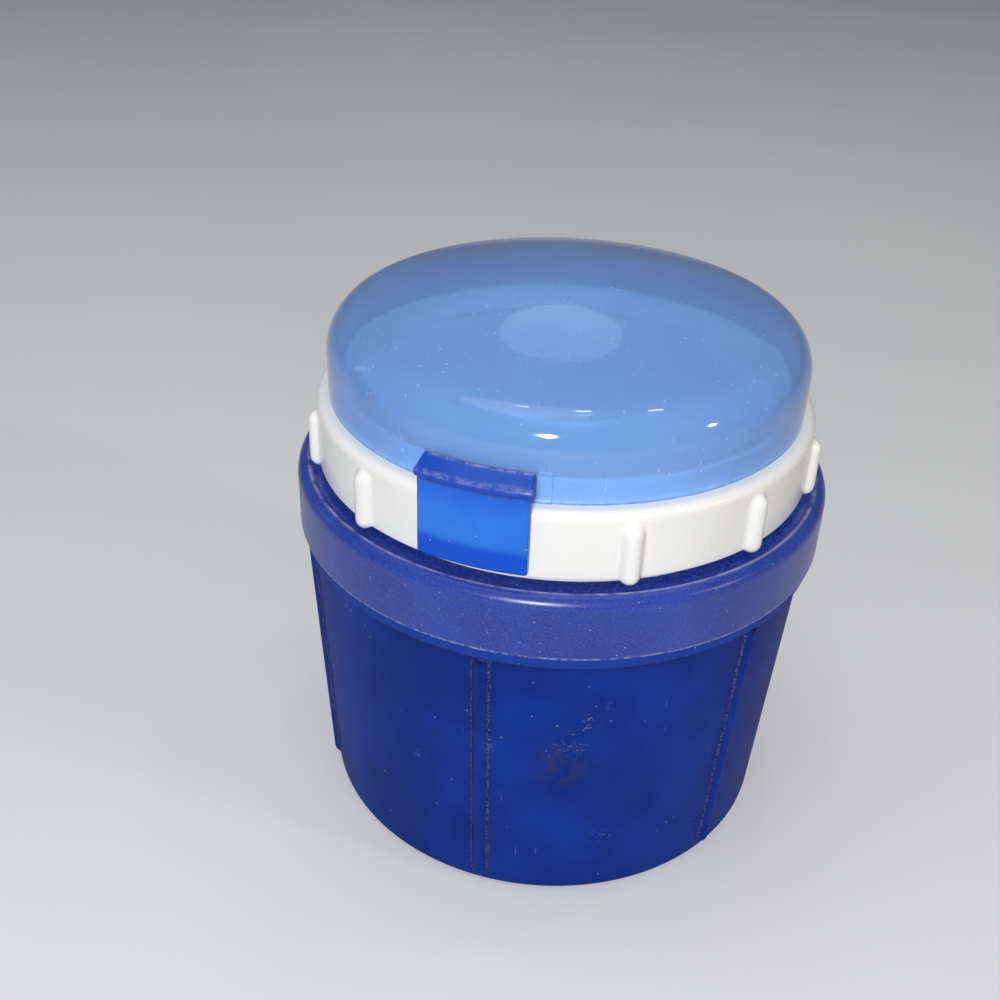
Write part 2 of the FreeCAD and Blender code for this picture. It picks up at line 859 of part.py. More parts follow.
def round_tab(body, bottom):
    """Rounds the upright and lower edges of the tab's outer face."""
    names = []
    for number, edge in enumerate(body.Tip.Shape.Edges, start=1):
        middle = edge.CenterOfMass
        ends = [vertex.Point for vertex in edge.Vertexes]
        on_face = all(abs(math.hypot(end.x, end.y) - latch_face.number) < NEAR for end in ends)
        upright = abs(ends[0].z - ends[-1].z) > S.latch_hook_height.number
        lowest = abs(middle.z - bottom.number) < NEAR
        if on_face and (upright or lowest):
            names.append(f"Edge{number}")
    return fillet(body, "tab_round", S.latch_round, names)


def latch_tab():
    bottom = ring_bottom + S.latch_foot_gap
    hook_top = bottom + S.latch_hook_height
    ledge_back = latch_level + S.latch_ledge_rise
    root_under = latch_level - S.latch_barrel + S.latch_root_step
    body = new_body("latch_tab")
    sketch = sketch_on(body, "tab_outline")
    draw_outline(sketch, [
        (latch_hook_inside, bottom),
        (latch_face, bottom),
        (latch_face, ledge_back - S.latch_ledge_fall),
        (latch_reach - S.latch_ledge_back, ledge_back),
        (latch_reach, root_under),
        (latch_inside, latch_level - S.latch_barrel * 2),
        (latch_inside, hook_top + S.latch_hook),
        (latch_hook_inside, hook_top),
    ])
    turn_solid(body, sketch, "tab", S.latch_half_angle * 2)
    round_tab(body, bottom)
    sketch = sketch_on(body, "barrel_outline")
    draw_circle(sketch, latch_reach, latch_level, S.latch_barrel)
    barrel_half = latch_reach * sine(S.latch_half_angle) - S.latch_barrel_inset
    pad(body, sketch, "barrel", barrel_half * 2, symmetric=True)
    # Room for the dome's knuckles, and the bore for the pin
    notch_start = S.latch_knuckle_place - S.latch_knuckle / 2 - S.latch_side_gap
    sketch = sketch_on(body, "notch_outline", shift=(0, 0, notch_start))
    notch_half = S.latch_barrel + S.latch_turn_gap
    notch_back = latch_reach - S.latch_ledge_back * 2
    draw_outline(sketch, [
        (notch_back, latch_level - notch_half),
        (latch_reach, latch_level - notch_half),
        Bend(latch_reach, latch_level + notch_half, centre=(latch_reach, latch_level)),
        (notch_back, latch_level + notch_half + S.latch_turn_room),
    ])
    notch = cut(body, sketch, "notch", S.latch_knuckle + S.latch_side_gap * 2)
    mirror(body, [notch], "notches")
    bore_through(body, "barrel_bore", latch_reach, latch_level,
                 S.latch_pin_radius + S.latch_pin_gap, barrel_half * 4)
    return body


def check_document(bodies):
    """Stops if any object failed or any piece is empty or broken."""
    doc.recompute()
    for item in doc.Objects:
        if "Invalid" in item.State or "Error" in item.State:
            raise RuntimeError(f"{item.Label} failed: {item.State}")
    for body in bodies:
        shape = body.Shape
        if shape.isNull() or not shape.isValid() or not shape.Solids:
            raise RuntimeError(f"{body.Label} has no sound shape")
        print(f"{body.Label}: {len(shape.Solids)} solid, {shape.Volume / 1000:.2f} cm3")


PIECES = (
    outer_shell, base_plate, fill_plug, insulation_disc, insulation_sleeve, inner_liner, grip_collar,
    food_bowl, lid_gasket, lid_plate, lid_insulation, lid_under_cover, lid_ring, dome_hinge_pin,
    dome_lid, latch_pin, latch_tab,
)

pieces = [make() for make in PIECES]
check_document(pieces)
os.makedirs(PARTS_FOLDER, exist_ok=True)
for piece in pieces:
    piece.Shape.exportStep(os.path.join(PARTS_FOLDER, f"{piece.Label}.step"))
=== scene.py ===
import math

import bmesh
import bpy
import numpy as np
from mathutils import Matrix, Vector


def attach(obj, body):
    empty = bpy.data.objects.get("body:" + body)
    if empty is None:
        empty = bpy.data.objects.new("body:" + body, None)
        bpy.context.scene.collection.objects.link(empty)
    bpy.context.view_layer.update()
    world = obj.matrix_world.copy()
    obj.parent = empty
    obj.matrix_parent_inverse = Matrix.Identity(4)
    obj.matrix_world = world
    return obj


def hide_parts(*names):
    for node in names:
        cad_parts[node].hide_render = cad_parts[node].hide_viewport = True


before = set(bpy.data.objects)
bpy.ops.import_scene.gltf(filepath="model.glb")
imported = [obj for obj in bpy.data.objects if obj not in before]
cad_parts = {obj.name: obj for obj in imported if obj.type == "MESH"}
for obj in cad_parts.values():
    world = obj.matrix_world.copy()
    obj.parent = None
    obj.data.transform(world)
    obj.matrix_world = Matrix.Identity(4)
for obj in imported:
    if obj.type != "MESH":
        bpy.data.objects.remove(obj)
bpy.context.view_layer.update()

# Sizes are in millimetres. Azimuth runs in degrees from the latch in front (-Y) round towards +X.
MM = 0.001

# Rows beside a long edge, points that count as one, degrees per step of a round, and edges left sharp
HOLD, LONG_EDGE = 0.2, 2.5
SAME = 0.001
ARC_STEP = 15.0
SHARP_ANGLE = 38.0

# Fillet where beads and grip ribs grow out of a wall, and how far dirt and painted shade reach from that
# corner
BLEND = 0.7
CREASE_REACH = 0.9
HALVINGS = 22

# Levels where pieces meet
BASE_SEAT, NECK_TOP, LINER_TOP, BOWL_SEAT, BOWL_RIM, PLATE_BOTTOM = 3.0, 82.0, 84.0, 86.4, 100.4, 101.8

# Jar wall, its step band under the collar, and its upright beads
WALL_FOOT, WALL_TOP, CONE_HEIGHT = 55.5, 59.5, 70.4
BAND_RADIUS, BAND_TOP, NECK_RADIUS = 61.2, 73.8, 59.6
BEAD_RADIUS, BEAD_SINK, BEAD_LOW, BEAD_HIGH = 1.85, 0.6, 4.2, 72.1
BEAD_PHASE, BEAD_PITCH = 3.0, 60
BEAD_ANGLES = [BEAD_PHASE + BEAD_PITCH * turn for turn in range(6)]

# Collar with its rounded rim, the ledge inside the rim, and the jar's mouth
COLLAR_BORE, COLLAR_RADIUS, COLLAR_TOP, COLLAR_ROUND = 60.0, 62.0, 88.5, 2.7
LEDGE_RADIUS, LEDGE_TOP = 58.5, 88.0
SEAT_RADIUS, MOUTH_RADIUS = 54.3, 52.7

# Lid ring, the curb inside the dome, and the grip ribs, with none under the latch or at the hinge
RING_RADIUS, RING_BORE, RING_BOTTOM, RING_TOP = 57.0, 54.4, 89.9, 105.2
CURB_OUTER, CURB_INNER, CURB_TOP = 51.5, 49.9, 110.2
GRIP_RADIUS, GRIP_AXIS, GRIP_LOW, GRIP_HIGH = 2.2, 56.8, 91.0, 100.3
GRIP_PHASE, GRIP_PITCH = 1.7, 30
GRIP_ANGLES = [GRIP_PHASE + GRIP_PITCH * turn for turn in (1, 2, 3, 4, 5, 7, 8, 9, 10, 11)]

# Height that the thread gains per turn and per degree
THREAD_LEAD = 24.0
LUG_RISE = THREAD_LEAD / 360

# Dome and the pad behind the latch
DOME_RADIUS, DOME_WALL, DOME_FOOT, DOME_SIDE_TOP = 54.2, 2.0, 105.4, 115.5
SHOULDER, CROWN = 9.0, 172.0
PAD_ANGLE, PAD_TOP, PAD_PROUD, PAD_EDGE = 15.3, 112.6, 0.4, 0.25

# Rear hinge and latch hinge: distance from the axis, level, barrel and bore
HINGE_REACH, HINGE_LEVEL, HINGE_BARREL, HINGE_BORE = 58.9, 107.2, 2.4, 1.15
LATCH_REACH, LATCH_LEVEL, LATCH_BARREL, LATCH_BORE = 56.5, 110.2, 1.0, 0.55
BORE_HALF = 15.0
EAR_ROOT, EAR_START, EAR_END = 55.7, 6.75, 10.75
KNUCKLE_ROOT, REAR_KNUCKLE_HALF = 53.2, 6.5
KNUCKLE_PLACE, KNUCKLE_HALF, KNUCKLE_GAP = 7.2, 1.4, 0.25

# Latch tab: its panel, the hook at its foot and the lip of its ledge
TAB_RADIUS, TAB_INNER, TAB_FOOT, TAB_HALF_ANGLE = 59.3, 57.9, 91.5, 11.45
HOOK_RADIUS, HOOK_TOP, HOOK_RUNOUT = 57.3, 95.6, 96.2
LIP_RADIUS, LIP_HALF_ANGLE = 59.8, 11.85
BARREL_HALF, NOTCH_GAP, NOTCH_BACK = 11.0, 0.4, 53.9


def colour(red, green, blue):
    """A colour written as it looks on a screen, as the light values that shaders take."""
    steps = [value / 255 for value in (red, green, blue)]
    linear = [step / 12.92 if step <= 0.04045 else ((step + 0.055) / 1.055) ** 2.4 for step in steps]
    return (*linear, 1.0)


# Outlines

def unit(vector):
    return vector / np.linalg.norm(vector)


def corner_arc(before, here, after, size):
    """Points of the arc that rounds one corner."""
    to_before, to_after = unit(before - here), unit(after - here)
    half = math.acos(float(np.clip(to_before @ to_after, -1, 1))) / 2
    middle = here + unit(to_before + to_after) * size / math.sin(half)
    start = here + to_before * size / math.tan(half) - middle
    turn = math.pi - 2 * half
    side = np.sign(to_after[0] * to_before[1] - to_after[1] * to_before[0])
    steps = max(2, math.ceil(math.degrees(turn) / ARC_STEP))
    arc = []
    for step in range(steps + 1):
        angle = side * turn * step / steps
        cosine, sine = math.cos(angle), math.sin(angle)
        turned = (start[0] * cosine - start[1] * sine, start[0] * sine + start[1] * cosine)
        arc.append(middle + np.array(turned))
    return arc


def outline(corners, closed=True):
    """Rounded outline through corners of (across, up, round, row spacing after it), counter-clockwise."""
    places = [np.array(corner[:2], float) for corner in corners]
    points, spacings = [], []
    for index, corner in enumerate(corners):
        size = corner[2] if len(corner) > 2 else 0
        spacing = corner[3] if len(corner) > 3 else None
        on_end = not closed and index in (0, len(corners) - 1)
        arc = [places[index]]
        if size and not on_end:
            arc = corner_arc(places[index - 1], places[index], places[(index + 1) % len(places)], size)
        if points and np.linalg.norm(arc[0] - points[-1]) < SAME:
            points.pop()
            spacings.pop()
        points += arc
        spacings += [None] * (len(arc) - 1) + [spacing]
    rows = []
    for index, point in enumerate(points):
        rows.append(point)
        last = index == len(points) - 1
        if last and not closed:
            break
        step = points[(index + 1) % len(points)] - point
        rows += [point + step * share for share in row_shares(np.linalg.norm(step), spacings[index])]
    return np.array(rows)


def row_shares(length, spacing):
    """Where rows lie along an edge: evenly at a spacing, or else beside the two ends of a long edge."""
    if spacing:
        count = int(length / spacing)
        return [number / count for number in range(1, count)]
    if length > LONG_EDGE:
        return [HOLD / length, 1 - HOLD / length]
    return []


def outline_normals(points, closed):
    """Outward directions at the points of a counter-clockwise outline."""
    ahead = np.roll(points, -1, 0) - points
    behind = points - np.roll(points, 1, 0)
    if not closed:
        ahead[-1] = behind[-1]
        behind[0] = ahead[0]
    along = ahead / np.linalg.norm(ahead, axis=1, keepdims=True)
    along += behind / np.linalg.norm(behind, axis=1, keepdims=True)
    normals = np.column_stack((along[:, 1], -along[:, 0]))
    return normals / np.linalg.norm(normals, axis=1, keepdims=True)


# Meshes

def even_angles(count=192):
    return np.linspace(0, 360, count, endpoint=False)


def crowded_angles(features, reach, fine, coarse):
    """Column angles round the circle, finer within half of reach of a feature, coarse from 1.5 of it on."""
    fine_grid = np.linspace(0, 360, 360 * 40 + 1)
    density = np.full_like(fine_grid, 1 / coarse)
    for feature in features:
        away = np.abs((fine_grid - feature + 180) % 360 - 180)
        density += (1 / fine - 1 / coarse) * np.clip(1.5 - away / reach, 0, 1)
    total = np.concatenate(([0], np.cumsum((density[1:] + density[:-1]) / 2 * np.diff(fine_grid))))
    count = int(round(total[-1]))
    return np.interp(np.arange(count) * total[-1] / count, total, fine_grid)


def lathe(points, angles, closed=True, swell=None):
    """Vertices and faces of an outline turned about the upright axis."""
    normals = outline_normals(points, closed)
    turns = np.radians(angles)
    across = np.column_stack((np.sin(turns), -np.cos(turns)))
    places = np.empty((len(points), len(angles), 3))
    outward = np.empty_like(places)
    for target, source in ((places, points), (outward, normals)):
        target[:, :, :2] = source[:, 0][:, None, None] * across[None]
        target[:, :, 2] = source[:, 1][:, None]
    if swell:
        height, direction = swell(places.reshape(-1, 3), outward.reshape(-1, 3))
        places += (direction * height[:, None]).reshape(places.shape)
    rows, columns = len(points), len(angles)
    number = np.arange(rows * columns).reshape(rows, columns)
    faces = []
    spans = range(rows if closed else rows - 1)
    for row in spans:
        low, high = number[row], number[(row + 1) % rows]
        low_pole = not closed and row == 0
        high_pole = not closed and row == rows - 2
        for column in range(columns):
            after = (column + 1) % columns
            if low_pole:
                faces.append((low[0], high[after], high[column]))
            elif high_pole:
                faces.append((low[column], low[after], high[0]))
            else:
                faces.append((low[column], low[after], high[after], high[column]))
    return places.reshape(-1, 3), faces


def swept(points, sections, place):
    """A closed outline carried through sections of (position, inset), with flat ends."""
    normals = outline_normals(points, True)
    count = len(points)
    rings = [place(position, points - normals * inset) for position, inset in sections]
    faces = []
    for section in range(len(sections) - 1):
        for index in range(count):
            after = (index + 1) % count
            low, high = section * count, (section + 1) * count
            faces.append((low + index, low + after, high + after, high + index))
    faces.append(tuple(range(count - 1, -1, -1)))
    faces.append(tuple(range((len(sections) - 1) * count, len(sections) * count)))
    return np.concatenate(rings), faces


def soft_ends(start, end, edge, scale=1.0, steps=4, middle=1):
    """Sections from start to end whose two ends are rounded by edge."""
    sections = []
    for step in range(steps + 1):
        angle = math.pi / 2 * step / steps
        sections.append((edge * (1 - math.sin(angle)) / scale, edge * (1 - math.cos(angle))))
    first = [(start + along, inset) for along, inset in reversed(sections)]
    last = [(end - along, inset) for along, inset in sections]
    between = [(start + (end - start) * number / middle, 0.0) for number in range(1, middle)]
    return first + between + last


def at_azimuth(angle, points):
    """Outline points of (radius, up), turned about the upright axis."""
    turn = math.radians(angle)
    return np.column_stack((points[:, 0] * math.sin(turn), -points[:, 0] * math.cos(turn), points[:, 1]))


def at_side(across, points):
    """Outline points of (towards the front, up), carried along X."""
    return np.column_stack((np.full(len(points), across), -points[:, 0], points[:, 1]))


def new_object(name, shapes):
    """An object made of one or more closed shapes, in millimetres until it is settled."""
    vertices, faces = [], []
    for places, polygons in shapes:
        offset = len(vertices)
        vertices += [tuple(place) for place in places]
        faces += [tuple(int(corner) + offset for corner in polygon) for polygon in polygons]
    mesh = bpy.data.meshes.new(name)
    mesh.from_pydata(vertices, [], faces)
    tidy_mesh(mesh)
    piece = bpy.data.objects.new(name, mesh)
    bpy.context.scene.collection.objects.link(piece)
    return piece


def tidy_mesh(mesh):
    """Deletes the spare copies of the axis points and turns every face outwards."""
    work = bmesh.new()
    work.from_mesh(mesh)
    bmesh.ops.delete(work, geom=[vertex for vertex in work.verts if not vertex.link_faces], context="VERTS")
    bmesh.ops.recalc_face_normals(work, faces=work.faces)
    work.to_mesh(mesh)
    work.free()


def combine(piece, other, operation):
    """Joins another object to a piece, or takes it away, and deletes that object."""
    modifier = piece.modifiers.new("combine", "BOOLEAN")
    modifier.operation = operation
    modifier.solver = "MANIFOLD"
    modifier.object = other
    graph = bpy.context.evaluated_depsgraph_get()
    mesh = bpy.data.meshes.new_from_object(piece.evaluated_get(graph))
    piece.modifiers.clear()
    piece.data = mesh
    bpy.data.objects.remove(other)


def settle(piece, body, slot, finish, *nodes):
    """Takes a piece to metres, shades it, gives it its finish, and lets it stand for its CAD nodes."""
    mesh = piece.data
    mesh.transform(Matrix.Scale(MM, 4))
    mesh.polygons.foreach_set("use_smooth", [True] * len(mesh.polygons))
    mesh.set_sharp_from_angle(angle=math.radians(SHARP_ANGLE))
    mesh.materials.clear()
    mesh.materials.append(finish)
    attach(piece, body)
    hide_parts(*nodes)


def mark(piece, name, values):
    """Stores a number for each vertex, which a finish can read by name."""
    attribute = piece.data.attributes.new(name, "FLOAT", "POINT")
    attribute.data.foreach_set("value", np.asarray(values, np.float32))


def vertex_places(piece):
    places = np.empty(len(piece.data.vertices) * 3)
    piece.data.vertices.foreach_get("co", places)
    return places.reshape(-1, 3)


# Round features that grow out of a wall

def pill_distance(points, pills, radius):
    """Distance of each point from the nearest round-ended bar."""
    nearest = np.full(len(points), np.inf)
    for low, high in pills:
        along = high - low
        share = np.clip((points - low) @ along / (along @ along), 0, 1)
        away = np.linalg.norm(points - low - share[:, None] * along, axis=1) - radius
        nearest = np.minimum(nearest, away)
    return nearest


def blended_pills(pills, radius, allowed):
    """Pushes a wall out to the pills that stand in it, with a soft fillet where they meet."""
    def swell(points, normals):
        low = np.zeros(len(points))
        high = np.full(len(points), 2 * radius)
        for _ in range(HALVINGS):
            middle = (low + high) / 2
            near = pill_distance(points + normals * middle[:, None], pills, radius)
            close = np.clip(BLEND - np.abs(middle - near), 0, None) / BLEND
            inside = np.minimum(middle, near) - close ** 2 * BLEND / 4 < 0
            low = np.where(inside, middle, low)
            high = np.where(inside, high, middle)
        return np.where(allowed(points, normals), low, 0), normals
    return swell


def upright_pills(angles, low, high):
    """Pill axes at each angle, from (radius, height) low to high."""
    pills = []
    for angle in angles:
        pills.append((at_azimuth(angle, np.array([low]))[0], at_azimuth(angle, np.array([high]))[0]))
    return pills


def crease_values(points, pills, radius, wall):
    """1 in the corner between the pills and the wall, falling to 0 beside it."""
    from_pill = np.abs(pill_distance(points, pills, radius))
    from_wall = np.abs(np.hypot(points[:, 0], points[:, 1]) - wall)
    return np.clip(1 - from_pill / CREASE_REACH, 0, 1) * np.clip(1 - from_wall / CREASE_REACH, 0, 1)


def fading(levels, start, reach, slack=0.1):
    """1 at a level, falling to 0 at reach above it, or below it where reach is negative."""
    share = (levels - start) / reach
    return np.clip(1 - share, 0, 1) * (share * abs(reach) > -slack)


# Finishes

class Finish:
    """A material and short ways to build its nodes."""

    def __init__(self, name):
        self.material = bpy.data.materials.new(name)
        self.material.use_nodes = True
        self.tree = self.material.node_tree
        self.shader = self.tree.nodes["Principled BSDF"]
        self.place = self.add("ShaderNodeTexCoord").outputs["Object"]

    def add(self, kind, **settings):
        node = self.tree.nodes.new(kind)
        for name, value in settings.items():
            setattr(node, name, value)
        return node

    def feed(self, socket, value):
        if isinstance(value, bpy.types.NodeSocket):
            self.tree.links.new(value, socket)
        else:
            socket.default_value = value

    def set(self, **values):
        for name, value in values.items():
            self.feed(self.shader.inputs[name.replace("_", " ")], value)

    def stretched(self, scale, turn=(0, 0, 0)):
        mapping = self.add("ShaderNodeMapping")
        mapping.inputs["Scale"].default_value = scale
        mapping.inputs["Rotation"].default_value = [math.radians(angle) for angle in turn]
        self.feed(mapping.inputs["Vector"], self.place)
        return mapping.outputs["Vector"]

    def noise(self, scale, detail=4.0, roughness=0.55, place=None):
        node = self.add("ShaderNodeTexNoise")
        self.feed(node.inputs["Vector"], place or self.place)
        node.inputs["Scale"].default_value = scale
        node.inputs["Detail"].default_value = detail
        node.inputs["Roughness"].default_value = roughness
        return node.outputs["Fac"]

    def specks(self, scale, size, keep):
        """Small round dots, on a share of the cells."""
        cells = self.add("ShaderNodeTexVoronoi")
        self.feed(cells.inputs["Vector"], self.place)
        cells.inputs["Scale"].default_value = scale
        dot = self.band(cells.outputs["Distance"], size, size * 0.5)
        chosen = self.add("ShaderNodeSeparateColor")
        self.feed(chosen.inputs["Color"], cells.outputs["Color"])
        return self.times(dot, self.band(chosen.outputs["Red"], keep, keep * 0.8))

    def band(self, value, low, high):
        """0 up to low and 1 from high on, with a smooth rise between. Low may be above high."""
        node = self.add("ShaderNodeMapRange", interpolation_type="SMOOTHSTEP")
        self.feed(node.inputs["Value"], value)
        flipped = low > high
        node.inputs["From Min"].default_value = high if flipped else low
        node.inputs["From Max"].default_value = low if flipped else high
        node.inputs["To Min"].default_value = 1.0 if flipped else 0.0
        node.inputs["To Max"].default_value = 0.0 if flipped else 1.0
        return node.outputs["Result"]

    def spread(self, value, low, high):
        """A 0 to 1 value laid out between low and high."""
        node = self.add("ShaderNodeMapRange")
        self.feed(node.inputs["Value"], value)
        node.inputs["To Min"].default_value = low
        node.inputs["To Max"].default_value = high
        return node.outputs["Result"]

    def maths(self, operation, first, second):
        node = self.add("ShaderNodeMath", operation=operation)
        self.feed(node.inputs[0], first)
        self.feed(node.inputs[1], second)
        return node.outputs["Value"]

    def times(self, first, second):
        return self.maths("MULTIPLY", first, second)

    def most(self, first, second):
        return self.maths("MAXIMUM", first, second)

    def mix(self, share, first, second):
        """The first colour, turning into the second as the share goes from 0 to 1."""
        node = self.add("ShaderNodeMix", data_type="RGBA")
        first_colour, second_colour, mixed = node.inputs[6], node.inputs[7], node.outputs[2]
        self.feed(node.inputs["Factor"], share)
        self.feed(first_colour, first)
        self.feed(second_colour, second)
        return mixed

    def reading(self, name):
        return self.add("ShaderNodeAttribute", attribute_name=name).outputs["Fac"]

    def height(self):
        """Height above the floor, in metres."""
        node = self.add("ShaderNodeSeparateXYZ")
        self.feed(node.inputs["Vector"], self.place)
        return node.outputs["Z"]

    def above(self, low, high):
        """0 below the height low and 1 above high, in millimetres. Low may be above high."""
        return self.band(self.height(), low * MM, high * MM)

    def near_level(self, level, half):
        """1 at a level, falling to 0 at half above and below it, in millimetres."""
        away = self.maths("ABSOLUTE", self.maths("SUBTRACT", self.height(), level * MM), 0.0)
        return self.band(away, half * MM, half * MM * 0.3)

    def near(self, point, size, edge):
        """1 within size of a point, falling to 0 over edge, all in millimetres."""
        node = self.add("ShaderNodeVectorMath", operation="DISTANCE")
        self.feed(node.inputs[0], self.place)
        node.inputs[1].default_value = [part * MM for part in point]
        return self.band(node.outputs["Value"], (size + edge) * MM, size * MM)

    def scratches(self, turn, scale=60.0, level=0.73):
        """Short thin scratches that run one way."""
        fine = self.noise(scale, 2.0, 0.5, self.stretched((14, 14, 1), turn))
        patch = self.band(self.noise(scale * 0.6, 2.0), 0.56, 0.66)
        return self.times(self.band(fine, level, level + 0.05), patch)

    def let_lamps_through(self, tint):
        """Lamps shine through the surface with a tint, so that what lies under it is lit."""
        clear = self.add("ShaderNodeBsdfTransparent")
        clear.inputs["Color"].default_value = tint
        either = self.add("ShaderNodeMixShader")
        self.feed(either.inputs["Fac"], self.add("ShaderNodeLightPath").outputs["Is Shadow Ray"])
        self.feed(either.inputs[1], self.shader.outputs["BSDF"])
        self.feed(either.inputs[2], clear.outputs["BSDF"])
        self.feed(self.tree.nodes["Material Output"].inputs["Surface"], either.outputs["Shader"])

    def bump(self, height, strength, distance, below=None):
        node = self.add("ShaderNodeBump")
        node.inputs["Strength"].default_value = strength
        node.inputs["Distance"].default_value = distance
        self.feed(node.inputs["Height"], height)
        if below:
            self.feed(node.inputs["Normal"], below)
        return node.outputs["Normal"]


def wall_radius(height):
    """Radius of the jar's sloping wall at a height."""
    return WALL_FOOT + (WALL_TOP - WALL_FOOT) * height / CONE_HEIGHT


def body_place(azimuth, height):
    """A point on the jar's sloping wall."""
    return at_azimuth(azimuth, np.array([(wall_radius(height), height)]))[0]


# Scuffed places on the wall: azimuth, height and size
SCUFFS = ((22.0, 48.0, 3.6), (26.0, 54.0, 2.8), (31.0, 18.0, 2.6), (30.0, 59.0, 1.6), (-12.0, 35.0, 1.6),
          (5.5, 46.0, 2.2), (-33.0, 66.0, 3.0), (64.5, 55.0, 3.0), (152.0, 40.0, 3.6), (-128.0, 52.0, 3.2))


def navy_finish(name, wear_and_painted_light):
    finish = Finish(name)
    cloud = finish.noise(38.0, 5.0)
    base = finish.mix(finish.band(cloud, 0.35, 0.7), colour(3, 40, 124), colour(10, 52, 147))
    dust = finish.most(finish.specks(640.0, 0.2, 0.05), finish.specks(260.0, 0.09, 0.06))
    dust = finish.times(dust, 0.36)
    scratch = finish.most(finish.scratches((20, 30, 10)), finish.scratches((70, 10, 50), 75.0))
    pale = finish.most(dust, finish.times(scratch, 0.42))
    if wear_and_painted_light:
        # Painted highlight: the step band's face is lighter, as if it caught more light than the wall.
        base = finish.mix(finish.times(finish.reading("step_band_highlight"), 0.6), base, colour(34, 68, 160))
        crease = finish.reading("crease")
        blotches = finish.band(finish.noise(2300.0, 6.0, 0.75), 0.47, 0.6)
        line = finish.times(finish.band(crease, 0.3, 0.62), blotches)
        # Painted shade: the creases beside the beads, under the step band and under the collar are darkened.
        base = finish.mix(finish.times(finish.band(crease, 0.08, 0.6), 0.65), base, colour(3, 16, 58))
        base = finish.mix(finish.times(line, 0.42), base, colour(132, 142, 184))
        smudge = finish.times(finish.near(body_place(20.5, 42.0), 3.5, 5.0),
                              finish.band(finish.noise(300.0, 4.0), 0.35, 0.65))
        base = finish.mix(finish.times(smudge, 0.45), base, colour(52, 54, 74))
        slanted = finish.stretched((1, 1, 2.2), (0, 25, 40))
        worn_thin = finish.band(finish.noise(700.0, 6.0, 0.75, slanted), 0.56, 0.64)
        for azimuth, height, size in SCUFFS:
            scuff = finish.times(finish.near(body_place(azimuth, height), size * 0.4, size), worn_thin)
            pale = finish.most(pale, finish.times(scuff, 0.34))
    base = finish.mix(pale, base, colour(168, 182, 222))
    finish.set(Base_Color=base, Specular_IOR_Level=0.0, Coat_Weight=0.28, Coat_Roughness=0.34)
    finish.set(Roughness=finish.spread(finish.noise(120.0, 4.0), 0.32, 0.46))
    grain = finish.bump(finish.noise(2600.0, 2.0), 0.06, 0.0002)
    finish.set(Normal=finish.bump(pale, 0.12, 0.0002, grain))
    return finish.material


def collar_finish():
    finish = Finish("collar_plastic")
    cloud = finish.noise(55.0, 4.0)
    base = finish.mix(finish.band(cloud, 0.3, 0.7), colour(30, 54, 142), colour(40, 66, 158))
    fine = finish.noise(2600.0, 3.0, 0.65)
    base = finish.mix(finish.times(finish.band(fine, 0.48, 0.72), 0.36), base, colour(96, 118, 200))
    ragged = finish.band(finish.noise(700.0, 3.0), 0.38, 0.6)
    low_edge = finish.times(finish.above(BAND_TOP + 0.9, BAND_TOP + 0.1), ragged)
    ledge = finish.band(finish.reading("ledge"), 0.2, 0.8)
    dusty = finish.times(ledge, finish.band(finish.noise(1100.0, 6.0, 0.7), 0.42, 0.68))
    # Painted shade: the recessed ledge under the lid ring is painted a darker blue; dust lies on it too.
    base = finish.mix(finish.times(ledge, 0.7), base, colour(5, 42, 146))
    base = finish.mix(finish.times(dusty, 0.3), base, colour(112, 128, 190))
    rim = finish.times(finish.reading("rim_line"), finish.band(finish.noise(260.0, 3.0), 0.3, 0.6))
    dust = finish.specks(760.0, 0.17, 0.12)
    edges = finish.most(finish.times(low_edge, 0.75), finish.times(rim, 0.55))
    pale = finish.most(edges, finish.times(dust, 0.5))
    base = finish.mix(pale, base, colour(188, 194, 226))
    finish.set(Base_Color=base, Specular_IOR_Level=0.0, Coat_Weight=0.95, Coat_Roughness=0.3)
    finish.set(Roughness=finish.spread(finish.noise(180.0, 3.0), 0.34, 0.42))
    finish.set(Normal=finish.bump(fine, 0.3, 0.00025))
    return finish.material


def white_finish(name, wear_and_painted_light):
    finish = Finish(name)
    cloud = finish.noise(26.0, 3.0)
    base = finish.mix(finish.band(cloud, 0.3, 0.7), colour(238, 238, 232), colour(244, 243, 240))
    if wear_and_painted_light:
        # The creases beside the grip ribs are darkened and yellowed: dirt and painted shade.
        crease = finish.band(finish.reading("crease"), 0.35, 0.95)
        blotches = finish.times(crease, finish.band(finish.noise(700.0, 3.0), 0.35, 0.7))
        base = finish.mix(finish.times(blotches, 0.5), base, colour(190, 180, 156))
    marks = finish.times(finish.specks(300.0, 0.12, 0.06), 0.3)
    base = finish.mix(marks, base, colour(150, 140, 120))
    finish.set(Base_Color=base, Specular_IOR_Level=0.5)
    finish.set(Roughness=finish.spread(finish.noise(90.0, 4.0), 0.16, 0.28))
    ripple = finish.bump(finish.noise(60.0, 2.0), 0.05, 0.0008)
    finish.set(Normal=finish.bump(finish.scratches((30, 60, 20), 70.0), 0.06, 0.0002, ripple))
    return finish.material


